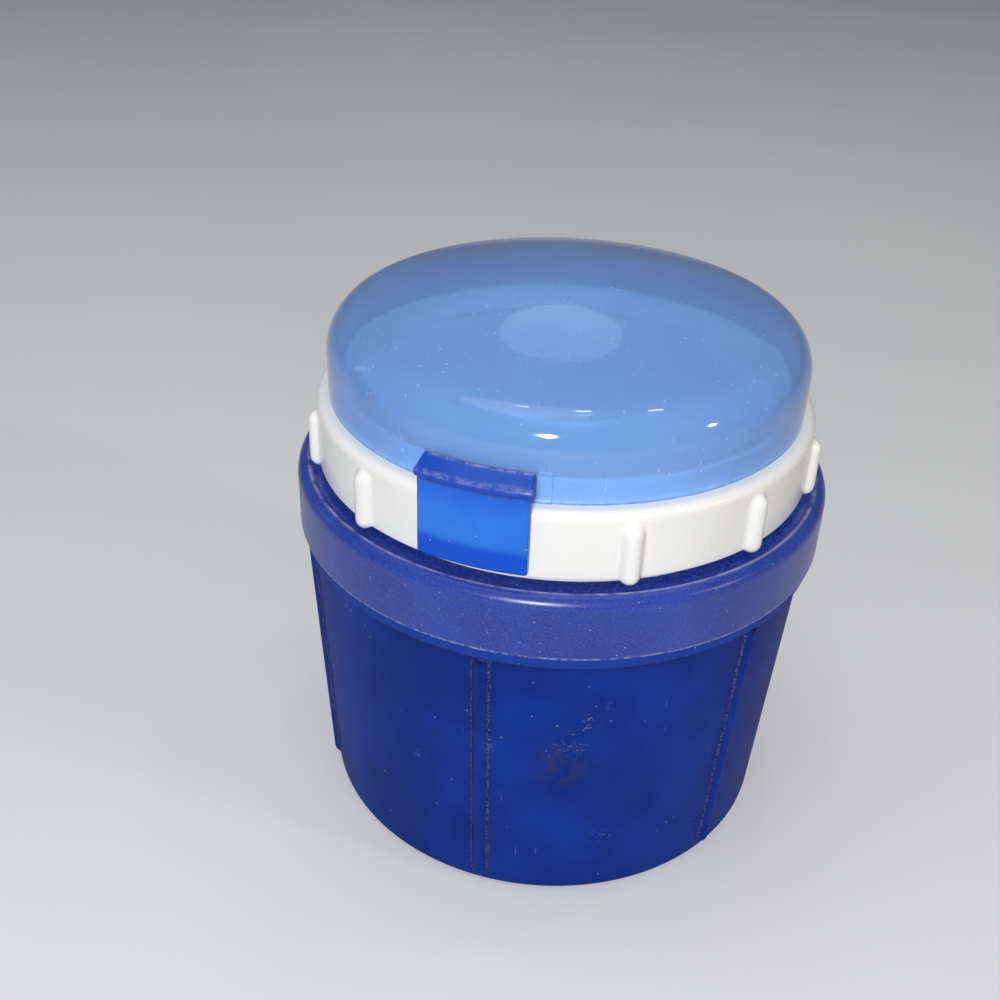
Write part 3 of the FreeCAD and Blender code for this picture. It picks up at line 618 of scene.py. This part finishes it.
def dome_finish():
    finish = Finish("dome_plastic")
    cloud = finish.noise(30.0, 4.0)
    base = finish.mix(finish.band(cloud, 0.3, 0.7), colour(139, 179, 228), colour(147, 186, 232))
    scratch = finish.most(finish.scratches((10, 80, 20), 55.0), finish.scratches((80, 20, 70), 65.0))
    dust = finish.most(finish.specks(560.0, 0.2, 0.22), finish.specks(210.0, 0.08, 0.2))
    dust = finish.most(dust, finish.times(finish.scratches((40, 50, 80), 90.0, 0.68), 0.7))
    patchy = finish.band(finish.noise(600.0, 5.0, 0.7), 0.42, 0.6)
    foot = finish.times(finish.above(DOME_FOOT + 1.4, DOME_FOOT + 0.1), patchy)
    wear = finish.most(finish.times(scratch, 0.3), finish.times(foot, 0.35))
    pale = finish.most(finish.times(dust, 0.6), wear)
    base = finish.mix(pale, base, colour(226, 236, 250))
    finish.set(Base_Color=base, Transmission_Weight=0.66, IOR=1.49, Specular_IOR_Level=0.4)
    finish.set(Roughness=finish.spread(finish.noise(70.0, 4.0), 0.03, 0.07))
    ripple = finish.bump(finish.noise(45.0, 2.0), 0.03, 0.001)
    finish.set(Normal=finish.bump(pale, 0.1, 0.0002, ripple))
    finish.let_lamps_through(colour(208, 218, 232))
    return finish.material


def tab_finish():
    finish = Finish("tab_plastic")
    cloud = finish.noise(60.0, 4.0)
    base = finish.mix(finish.band(cloud, 0.3, 0.7), colour(42, 120, 230), colour(52, 130, 236))
    # Painted light through the tab: the thick hook at its foot, its upper face and its ledge, where no white
    # ring lies behind, are painted deeper blue.
    foot = finish.above(TAB_FOOT + 6.5, TAB_FOOT + 3.9)
    upper = finish.above(TAB_FOOT + 11.5, TAB_FOOT + 17.5)
    ledge = finish.above(LATCH_LEVEL - 1.7, LATCH_LEVEL - 0.8)
    base = finish.mix(foot, base, colour(0, 84, 212))
    base = finish.mix(finish.times(upper, 0.6), base, colour(24, 92, 216))
    base = finish.mix(ledge, base, colour(30, 78, 186))
    patchy = finish.band(finish.noise(600.0, 5.0, 0.7), 0.36, 0.58)
    # Under the lip: painted shade, broken up with dust.
    under_lip = finish.times(finish.near_level(LATCH_LEVEL - 1.2, 0.7), patchy)
    base = finish.mix(finish.times(under_lip, 0.5), base, colour(60, 58, 130))
    back_edge = finish.times(finish.above(LATCH_LEVEL + 2.4, LATCH_LEVEL + 3.2), patchy)
    # Painted highlight along the lip of the ledge; the back edge gets pale dust.
    lip_highlight = finish.times(finish.near_level(LATCH_LEVEL + 0.6, 0.6), patchy)
    wear_and_painted_light = finish.most(finish.times(back_edge, 0.8), finish.times(lip_highlight, 0.2))
    pale = finish.most(wear_and_painted_light, finish.times(finish.specks(700.0, 0.17, 0.1), 0.4))
    base = finish.mix(pale, base, colour(206, 214, 236))
    finish.set(Base_Color=base, Transmission_Weight=0.12, IOR=1.49, Specular_IOR_Level=0.2)
    finish.set(Roughness=finish.spread(finish.noise(150.0, 3.0), 0.14, 0.26))
    finish.set(Normal=finish.bump(pale, 0.12, 0.0002))
    return finish.material


def soft_finish(name, first, second, roughness, grain, depth):
    """A plain moulded, foamed or rubbery finish with two close tones and a grain."""
    finish = Finish(name)
    cloud = finish.noise(grain * 0.06, 4.0)
    fine = finish.noise(grain, 3.0, 0.6)
    base = finish.mix(finish.band(cloud, 0.3, 0.7), first, second)
    base = finish.mix(finish.times(finish.band(fine, 0.35, 0.5), 0.12), base, colour(90, 88, 80))
    finish.set(Base_Color=base)
    finish.set(Roughness=finish.spread(finish.noise(grain * 0.1, 3.0), roughness - 0.06, roughness + 0.06))
    finish.set(Normal=finish.bump(fine, 0.25, depth))
    return finish.material


def steel_finish():
    finish = Finish("pin_steel")
    drawn = finish.noise(1200.0, 3.0, 0.6, finish.stretched((0.05, 1, 1)))
    base = finish.mix(finish.band(drawn, 0.3, 0.7), colour(188, 188, 192), colour(214, 214, 216))
    finish.set(Base_Color=base, Metallic=1.0)
    finish.set(Roughness=finish.spread(drawn, 0.22, 0.4))
    finish.set(Normal=finish.bump(drawn, 0.1, 0.0001))
    return finish.material


NAVY = navy_finish("navy_plastic", wear_and_painted_light=True)
NAVY_PLAIN = navy_finish("navy_plastic_base", wear_and_painted_light=False)
COLLAR = collar_finish()
WHITE = white_finish("white_plastic", wear_and_painted_light=True)
WHITE_PLAIN = white_finish("white_plastic_inside", wear_and_painted_light=False)
DOME = dome_finish()
TAB = tab_finish()
LINER = soft_finish("liner_plastic", colour(214, 217, 220), colour(222, 224, 226), 0.36, 1500.0, 0.0001)
FOAM = soft_finish("foam", colour(232, 222, 188), colour(242, 234, 206), 0.85, 1100.0, 0.0006)
SEAL = soft_finish("seal", colour(218, 219, 214), colour(228, 229, 224), 0.55, 1700.0, 0.0001)
STEEL = steel_finish()


# Jar

def make_outer_shell():
    foot_bore, first_row, last_row = 50.1, 9.0, 69.0
    points = outline([
        (foot_bore, 0, 0.5), (WALL_FOOT, 0, 2.0, 0.4), (wall_radius(first_row), first_row, 0, 2.0),
        (wall_radius(last_row), last_row, 0, 0.35), (WALL_TOP, CONE_HEIGHT),
        (BAND_RADIUS, CONE_HEIGHT, 1.3, 0.3), (BAND_RADIUS, BAND_TOP, 0.5), (NECK_RADIUS, BAND_TOP),
        (NECK_RADIUS, NECK_TOP, 0.3), (57.4, NECK_TOP, 0.3), (56.9, CONE_HEIGHT), (52.9, BASE_SEAT),
        (foot_bore, BASE_SEAT, 0.3),
    ])
    low = (wall_radius(BEAD_LOW) - BEAD_SINK, BEAD_LOW)
    high = (wall_radius(BEAD_HIGH) - BEAD_SINK, BEAD_HIGH)
    pills = upright_pills(BEAD_ANGLES, low, high)

    def on_wall(places, normals):
        outward = (normals[:, :2] * places[:, :2]).sum(1) > 0
        return outward & (np.abs(normals[:, 2]) < 0.75) & (places[:, 2] < CONE_HEIGHT + 0.1)

    angles = crowded_angles(BEAD_ANGLES, 3.2, 0.28, 1.8)
    wall_with_beads = lathe(points, angles, True, blended_pills(pills, BEAD_RADIUS, on_wall))
    piece = new_object("outer_shell_piece", [wall_with_beads])
    places = vertex_places(piece)
    radius, level = np.hypot(places[:, 0], places[:, 1]), places[:, 2]
    # Crease values: painted shade beside the beads, under and along the step band's foot and under the
    # collar, with a patchy dust line along them.
    beside_beads = crease_values(places, pills, BEAD_RADIUS, wall_radius(level))
    below_band = 0.5 * fading(level, CONE_HEIGHT, -3.0)
    band_edge = 0.3 * fading(level, CONE_HEIGHT, 1.2)
    under_collar = 0.5 * fading(level, BAND_TOP, -0.6)
    mark(piece, "crease", np.maximum.reduce((beside_beads, below_band, band_edge, under_collar)))
    # The step band mask carries a painted highlight on the band's face.
    mark(piece, "step_band_highlight", (radius > BAND_RADIUS - 0.6) & (level > CONE_HEIGHT + 0.6))
    settle(piece, "jar", "navy_plastic", NAVY, "outer_shell")


def make_collar():
    rim_radius = COLLAR_RADIUS - COLLAR_ROUND
    points = outline([
        (COLLAR_BORE, BAND_TOP, 0.2), (COLLAR_RADIUS, BAND_TOP, 0.5),
        (COLLAR_RADIUS, COLLAR_TOP, COLLAR_ROUND), (rim_radius, COLLAR_TOP), (LEDGE_RADIUS, LEDGE_TOP),
        (SEAT_RADIUS, LEDGE_TOP, 0.2), (SEAT_RADIUS, BOWL_SEAT), (MOUTH_RADIUS, BOWL_SEAT, 0.3),
        (MOUTH_RADIUS, LINER_TOP), (COLLAR_BORE, LINER_TOP),
    ])
    piece = new_object("grip_collar_piece", [lathe(points, even_angles(288))])
    places = vertex_places(piece)
    radius, level = np.hypot(places[:, 0], places[:, 1]), places[:, 2]
    # The ledge mask carries painted shade for the recess under the lid ring, and its dust.
    mark(piece, "ledge", (radius < LEDGE_RADIUS + 0.5) & (level > BOWL_SEAT - 0.4))
    mark(piece, "rim_line", np.clip(1 - np.hypot(radius - rim_radius, level - COLLAR_TOP) / 0.5, 0, 1))
    settle(piece, "jar", "collar_plastic", COLLAR, "grip_collar")


def make_turned(name, body, slot, finish, corners, closed):
    """A turned piece with nothing but its rounded outline."""
    piece = new_object(f"{name}_piece", [lathe(outline(corners, closed), even_angles(), closed)])
    settle(piece, body, slot, finish, name)


def thread_lugs(name, corners, half_span):
    """Four short lugs that climb round the axis."""
    points = outline(corners)
    shapes = []
    for turn in range(4):
        middle = turn * 90

        def place(angle, ring, middle=middle):
            lug = at_azimuth(angle + middle, ring)
            lug[:, 2] += LUG_RISE * angle
            return lug

        arc_length = math.radians(1) * corners[0][0]
        sections = soft_ends(-half_span, half_span, 0.5, arc_length, 3, 16)
        shapes.append(swept(points, sections, place))
    return new_object(name, shapes)


def make_bowl():
    corners = [
        (0, 14.1), (45.8, 14.1, 6.0), (52.0, BOWL_SEAT, 0.3), (54.0, BOWL_SEAT, 0.4), (54.0, 88.4, 0.4),
        (52.0, 88.4, 0.3), (52.0, BOWL_RIM, 0.6), (50.0, BOWL_RIM, 0.6), (50.0, BOWL_SEAT),
        (43.8, 16.1, 4.0), (0, 16.1),
    ]
    piece = new_object("food_bowl_piece", [lathe(outline(corners, False), even_angles(), False)])
    lug = [(51.5, 95.2), (53.9, 95.6, 0.3), (53.9, 97.4, 0.3), (51.5, 97.8)]
    combine(piece, thread_lugs("bowl_lugs", lug, 22.0), "UNION")
    settle(piece, "bowl", "white_plastic", WHITE_PLAIN, "food_bowl")


# Lid ring

def make_ring():
    over_plate, snap_bead = 103.6, 53.5
    points = outline([
        (RING_BORE, RING_BOTTOM, 0.3), (RING_RADIUS, RING_BOTTOM, 0.5, 0.55), (RING_RADIUS, RING_TOP, 2.0),
        (CURB_OUTER, RING_TOP, 0.4), (CURB_OUTER, CURB_TOP, 0.5), (CURB_INNER, CURB_TOP, 0.5),
        (CURB_INNER, over_plate, 0.2), (RING_BORE, over_plate, 0.2), (RING_BORE, 101.5), (snap_bead, 101.5),
        (snap_bead, 101.1), (RING_BORE, 100.2),
    ])
    pills = upright_pills(GRIP_ANGLES, (GRIP_AXIS, GRIP_LOW), (GRIP_AXIS, GRIP_HIGH))

    def outside(places, normals):
        facing = (normals[:, :2] * places[:, :2]).sum(1) > -0.02 * RING_RADIUS
        beyond_bore = np.hypot(places[:, 0], places[:, 1]) > RING_BORE + 0.35
        return facing & beyond_bore & (places[:, 2] < RING_TOP)

    angles = crowded_angles(GRIP_ANGLES, 3.2, 0.3, 1.8)
    wall_with_grips = lathe(points, angles, True, blended_pills(pills, GRIP_RADIUS, outside))
    piece = new_object("lid_ring_piece", [wall_with_grips])
    lug = [(54.9, 92.9), (54.9, 95.5), (52.5, 95.1, 0.3), (52.5, 93.3, 0.3)]
    combine(piece, thread_lugs("ring_lugs", lug, 18.0), "UNION")
    ear = outline([
        (-EAR_ROOT, 98.8, 0.3), (-EAR_ROOT, 104.2), (HINGE_BARREL - HINGE_REACH, HINGE_LEVEL),
        *barrel_corners(-HINGE_REACH, HINGE_BARREL, 15, 165), (-HINGE_BARREL - HINGE_REACH, HINGE_LEVEL),
    ])
    for side in (-1, 1):
        ends = sorted((side * EAR_START, side * EAR_END))
        combine(piece, new_object("ear", [swept(ear, soft_ends(*ends, 0.5), at_side)]), "UNION")
    combine(piece, rod("ear_bore", HINGE_BORE, -HINGE_REACH, HINGE_LEVEL, BORE_HALF), "DIFFERENCE")
    places = vertex_places(piece)
    # Crease values darken the corners beside the grip ribs with dirt and painted shade.
    mark(piece, "crease", crease_values(places, pills, GRIP_RADIUS, RING_RADIUS))
    settle(piece, "lid_ring", "white_plastic", WHITE, "lid_ring")


def barrel_corners(across, radius, start, end, level=HINGE_LEVEL):
    """Points of an arc about a hinge axis."""
    turns = np.radians(np.linspace(start, end, 13))
    return [(across + radius * math.cos(turn), level + radius * math.sin(turn)) for turn in turns]


def rod(name, radius, across, level, half):
    """A round bar along X, as a barrel or to bore a hole."""
    turns = np.radians(np.arange(0, 360, ARC_STEP))
    points = np.column_stack((across + radius * np.cos(turns), level + radius * np.sin(turns)))
    return new_object(name, [swept(points, [(-half, 0), (half, 0)], at_side)])


# Dome

def dome_curve(shoulder, crown):
    """Points of the shoulder and crown from the top of the side wall to the apex."""
    centre = DOME_RADIUS - SHOULDER
    drop = math.sqrt((CROWN - SHOULDER) ** 2 - centre ** 2)
    tilt = math.asin(centre / (CROWN - SHOULDER))
    curve = []
    for angle in np.linspace(0, math.pi / 2 - tilt, 19):
        curve.append((centre + shoulder * math.cos(angle), DOME_SIDE_TOP + shoulder * math.sin(angle)))
    for angle in np.linspace(tilt, 0, 34)[1:]:
        curve.append((crown * math.sin(angle), DOME_SIDE_TOP - drop + crown * math.cos(angle)))
    return curve


def make_dome():
    inside = DOME_RADIUS - DOME_WALL
    outer = dome_curve(SHOULDER, CROWN)
    inner = dome_curve(SHOULDER - DOME_WALL, CROWN - DOME_WALL)
    corners = [*inner[::-1], (inside, DOME_FOOT, 0.5), (DOME_RADIUS, DOME_FOOT, 0.5, 1.0),
               (DOME_RADIUS, PAD_TOP - 0.5, 0, 0.1), (DOME_RADIUS, PAD_TOP + 0.5), *outer]
    points = outline(corners, False)

    def pad(places, normals):
        radius = np.hypot(places[:, 0], places[:, 1])
        angle = np.degrees(np.arctan2(places[:, 0], -places[:, 1]))
        beside = np.radians(PAD_ANGLE - np.abs(angle)) * DOME_RADIUS
        below = PAD_TOP - places[:, 2]
        share = np.clip(np.minimum(beside, below) / PAD_EDGE, 0, 1)
        sideways = places[:, :2] / radius.clip(SAME)[:, None]
        outward = (normals[:, :2] * sideways).sum(1)
        direction = np.column_stack((sideways, np.zeros(len(places))))
        return PAD_PROUD * share * np.clip(outward, 0, 1), direction

    angles = crowded_angles([PAD_ANGLE, 360 - PAD_ANGLE], 1.0, 0.08, 1.6)
    piece = new_object("dome_lid_piece", [lathe(points, angles, False, pad)])
    latch_knuckle = outline([
        (KNUCKLE_ROOT, LATCH_LEVEL - LATCH_BARREL), (LATCH_REACH, LATCH_LEVEL - LATCH_BARREL),
        *barrel_corners(LATCH_REACH, LATCH_BARREL, -75, 75, LATCH_LEVEL),
        (LATCH_REACH, LATCH_LEVEL + LATCH_BARREL), (KNUCKLE_ROOT, LATCH_LEVEL + LATCH_BARREL),
    ])
    for side in (-1, 1):
        place = side * KNUCKLE_PLACE
        ends = soft_ends(place - KNUCKLE_HALF, place + KNUCKLE_HALF, 0.25)
        combine(piece, new_object("knuckle", [swept(latch_knuckle, ends, at_side)]), "UNION")
    past_ring = -RING_RADIUS - 0.2
    rear_knuckle = outline([
        (-KNUCKLE_ROOT, HINGE_LEVEL + HINGE_BARREL), (-HINGE_REACH, HINGE_LEVEL + HINGE_BARREL),
        *barrel_corners(-HINGE_REACH, HINGE_BARREL, 105, 255),
        (-HINGE_REACH, HINGE_LEVEL - HINGE_BARREL), (past_ring, HINGE_LEVEL - HINGE_BARREL, 0.2),
        (past_ring, DOME_FOOT), (-KNUCKLE_ROOT, DOME_FOOT),
    ])
    knuckle = swept(rear_knuckle, soft_ends(-REAR_KNUCKLE_HALF, REAR_KNUCKLE_HALF, 0.4), at_side)
    combine(piece, new_object("knuckle", [knuckle]), "UNION")
    combine(piece, rod("hinge_bore", HINGE_BORE, -HINGE_REACH, HINGE_LEVEL, BORE_HALF), "DIFFERENCE")
    combine(piece, rod("latch_bore", LATCH_BORE, LATCH_REACH, LATCH_LEVEL, BORE_HALF), "DIFFERENCE")
    settle(piece, "dome", "dome_plastic", DOME, "dome_lid")


# Latch tab

def make_tab():
    face = outline([
        (HOOK_RADIUS, TAB_FOOT, 0.4), (TAB_RADIUS, TAB_FOOT, 0.8), (TAB_RADIUS, LATCH_LEVEL), (57.0, 111.4),
        (LATCH_REACH, 109.4), (TAB_INNER, 108.2, 0.3), (TAB_INNER, HOOK_RUNOUT, 0.2),
        (HOOK_RADIUS, HOOK_TOP, 0.2),
    ])
    ledge = outline([
        (56.4, 109.5, 0.2), (TAB_RADIUS, 109.2, 0.1), (LIP_RADIUS, 109.4, 0.5), (LIP_RADIUS, 110.85, 0.7),
        (58.4, 111.45, 0.4), (55.25, 113.55, 0.4),
    ])
    arc_length = math.radians(1) * TAB_RADIUS
    panel = swept(face, soft_ends(-TAB_HALF_ANGLE, TAB_HALF_ANGLE, 0.6, arc_length, 5, 16), at_azimuth)
    piece = new_object("latch_tab_piece", [panel])
    top = swept(ledge, soft_ends(-LIP_HALF_ANGLE, LIP_HALF_ANGLE, 0.5, arc_length, 5, 16), at_azimuth)
    combine(piece, new_object("ledge", [top]), "UNION")
    combine(piece, rod("barrel", LATCH_BARREL, LATCH_REACH, LATCH_LEVEL, BARREL_HALF), "UNION")
    half = LATCH_BARREL + NOTCH_GAP
    notch = outline([
        (NOTCH_BACK, LATCH_LEVEL - half), (LATCH_REACH, LATCH_LEVEL - half),
        *barrel_corners(LATCH_REACH, half, -75, 75, LATCH_LEVEL),
        (LATCH_REACH, LATCH_LEVEL + half), (NOTCH_BACK, LATCH_LEVEL + half + 0.6),
    ])
    width = KNUCKLE_HALF + KNUCKLE_GAP
    for side in (-1, 1):
        place = side * KNUCKLE_PLACE
        sections = [(place - width, 0), (place + width, 0)]
        combine(piece, new_object("notch", [swept(notch, sections, at_side)]), "DIFFERENCE")
    combine(piece, rod("bore", LATCH_BORE, LATCH_REACH, LATCH_LEVEL, BORE_HALF), "DIFFERENCE")
    settle(piece, "latch", "tab_plastic", TAB, "latch_tab")


make_outer_shell()
make_collar()
make_bowl()
make_ring()
make_dome()
make_tab()
make_turned("base_plate", "jar", "navy_plastic", NAVY_PLAIN, [
    (5.0, BASE_SEAT, 0.2), (52.6, BASE_SEAT, 0.4), (52.6, 5.0, 0.2), (5.0, 5.0, 0.2)], True)
make_turned("fill_plug", "jar", "navy_plastic", NAVY_PLAIN, [
    (0, 2.2), (7.0, 2.2, 0.4), (7.0, BASE_SEAT, 0.2), (4.9, BASE_SEAT), (4.9, 5.0, 0.2), (0, 5.0)], False)
make_turned("inner_liner", "jar", "liner_plastic", LINER, [
    (0, 12.0), (48.1, 12.0, 1.0), (54.3, NECK_TOP), (59.3, NECK_TOP, 0.3), (59.3, LINER_TOP, 0.3),
    (MOUTH_RADIUS, LINER_TOP, 0.3), (46.5, 13.6, 1.0), (0, 13.6)], False)
make_turned("lid_plate", "lid_disc", "white_plastic", WHITE_PLAIN, [
    (0, PLATE_BOTTOM), (54.0, PLATE_BOTTOM, 0.3), (54.0, 103.4, 0.3), (16.0, 103.4, 0.6), (14.8, 104.6, 0.6),
    (0, 104.6)], False)
make_turned("lid_gasket", "lid_disc", "seal", SEAL, [
    (47.9, BOWL_RIM, 0.4), (52.0, BOWL_RIM, 0.4), (52.0, PLATE_BOTTOM, 0.3), (47.9, PLATE_BOTTOM, 0.3)], True)
make_turned("lid_under_cover", "lid_disc", "white_plastic", WHITE_PLAIN, [
    (0, 91.8), (47.5, 91.8, 3.0), (47.5, PLATE_BOTTOM, 0.2), (46.0, PLATE_BOTTOM, 0.2), (46.0, 93.3, 1.5),
    (0, 93.3)], False)

for node, finish in (("insulation_disc", FOAM), ("insulation_sleeve", FOAM), ("lid_insulation", FOAM),
                     ("dome_hinge_pin", STEEL), ("latch_pin", STEEL)):
    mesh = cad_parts[node].data
    mesh.materials.clear()
    mesh.materials.append(finish)


# Stage: floor, lamps and camera, in metres

FLOOR_HALF = 8.0
LAMP_AIM = Vector((0, 0, 0.11))
CAMERA_AIM = Vector((0, 0, 0.06))
CEILING_TINT = (1.0, 0.97, 0.86)


def make_floor():
    finish = Finish("floor")
    cloud = finish.band(finish.noise(3.0, 3.0), 0.3, 0.7)
    tone = finish.mix(cloud, colour(234, 235, 237), colour(239, 240, 241))
    path = finish.add("ShaderNodeLightPath").outputs
    seen = finish.most(path["Is Camera Ray"], finish.most(path["Is Glossy Ray"], path["Is Transmission Ray"]))
    shown = finish.mix(seen, colour(140, 144, 156), tone)
    finish.set(Base_Color=shown, Roughness=0.85, Specular_IOR_Level=0.2)
    mesh = bpy.data.meshes.new("floor")
    corners = [(x * FLOOR_HALF, y * FLOOR_HALF, 0) for x, y in ((-1, -1), (1, -1), (1, 1), (-1, 1))]
    mesh.from_pydata(corners, [], [(0, 1, 2, 3)])
    mesh.materials.append(finish.material)
    floor = bpy.data.objects.new("floor", mesh)
    bpy.context.scene.collection.objects.link(floor)


def add_lamp(name, azimuth, elevation, distance, size, power, tint=(1, 1, 1)):
    """A soft round or long lamp that faces the jar from a direction in degrees, with sizes in metres."""
    turn, tilt = math.radians(azimuth), math.radians(elevation)
    towards = Vector((math.sin(turn) * math.cos(tilt), -math.cos(turn) * math.cos(tilt), math.sin(tilt)))
    lamp = bpy.data.lights.new(name, "AREA")
    lamp.shape = "ELLIPSE"
    lamp.size, lamp.size_y = size
    lamp.energy = power
    lamp.color = tint
    holder = bpy.data.objects.new(name, lamp)
    holder.location = LAMP_AIM + towards * distance
    holder.rotation_mode = "QUATERNION"
    holder.rotation_quaternion = (-towards).to_track_quat("-Z", "Y")
    bpy.context.scene.collection.objects.link(holder)


def light_scene():
    world = bpy.data.worlds.new("world")
    world.use_nodes = True
    background = world.node_tree.nodes["Background"]
    background.inputs["Color"].default_value = (0.92, 0.95, 1.0, 1.0)
    background.inputs["Strength"].default_value = 0.19
    bpy.context.scene.world = world
    add_lamp("key", 10.0, 27.0, 1.0, (0.13, 0.13), 8.3)
    add_lamp("overhead", -60.0, 80.0, 1.4, (0.9, 0.9), 2.4)
    add_lamp("ceiling_near", 160.0, 82.8, 1.3, (0.09, 0.09), 0.35, CEILING_TINT)
    add_lamp("ceiling_right", 124.1, 67.7, 1.3, (0.09, 0.09), 0.35, CEILING_TINT)
    add_lamp("ceiling_left", -110.9, 78.5, 1.3, (0.07, 0.07), 0.2)
    add_lamp("warm_right", 85.7, 19.9, 1.3, (0.1, 0.1), 1.8, (1.0, 0.8, 0.58))
    add_lamp("rear_disc", -162.3, 41.2, 1.2, (0.33, 0.38), 0.26, (0.72, 0.94, 1.0))
    add_lamp("left_strip", -93.0, 17.0, 1.2, (0.1, 0.42), 0.14, (0.6, 0.92, 1.0))


def add_camera():
    """The photograph's view: the lens, direction, tilt and offsets found from the jar's outlines."""
    azimuth, elevation, roll = math.radians(19.57), math.radians(31.13), math.radians(2.05)
    distance, aside, above = 0.300448, -0.013684, 0.01208
    turn = Matrix.Rotation(azimuth, 3, "Z")
    back = turn @ Vector((0, -math.cos(elevation), math.sin(elevation)))
    right = turn @ Vector((1, 0, 0))
    up = turn @ Vector((0, math.sin(elevation), math.cos(elevation)))
    rolled_right = right * math.cos(roll) + up * math.sin(roll)
    rolled_up = up * math.cos(roll) - right * math.sin(roll)
    lens = bpy.data.cameras.new("camera")
    lens.sensor_width = 36.0
    lens.lens = 43.2
    lens.clip_start = 0.01
    camera = bpy.data.objects.new("camera", lens)
    eye = CAMERA_AIM + back * distance + rolled_right * aside + rolled_up * above
    facing = Matrix((rolled_right, rolled_up, back)).transposed().to_4x4()
    camera.matrix_world = Matrix.Translation(eye) @ facing
    bpy.context.scene.collection.objects.link(camera)
    bpy.context.scene.camera = camera


make_floor()
light_scene()
add_camera()
bpy.context.scene.view_settings.view_transform = "Standard"
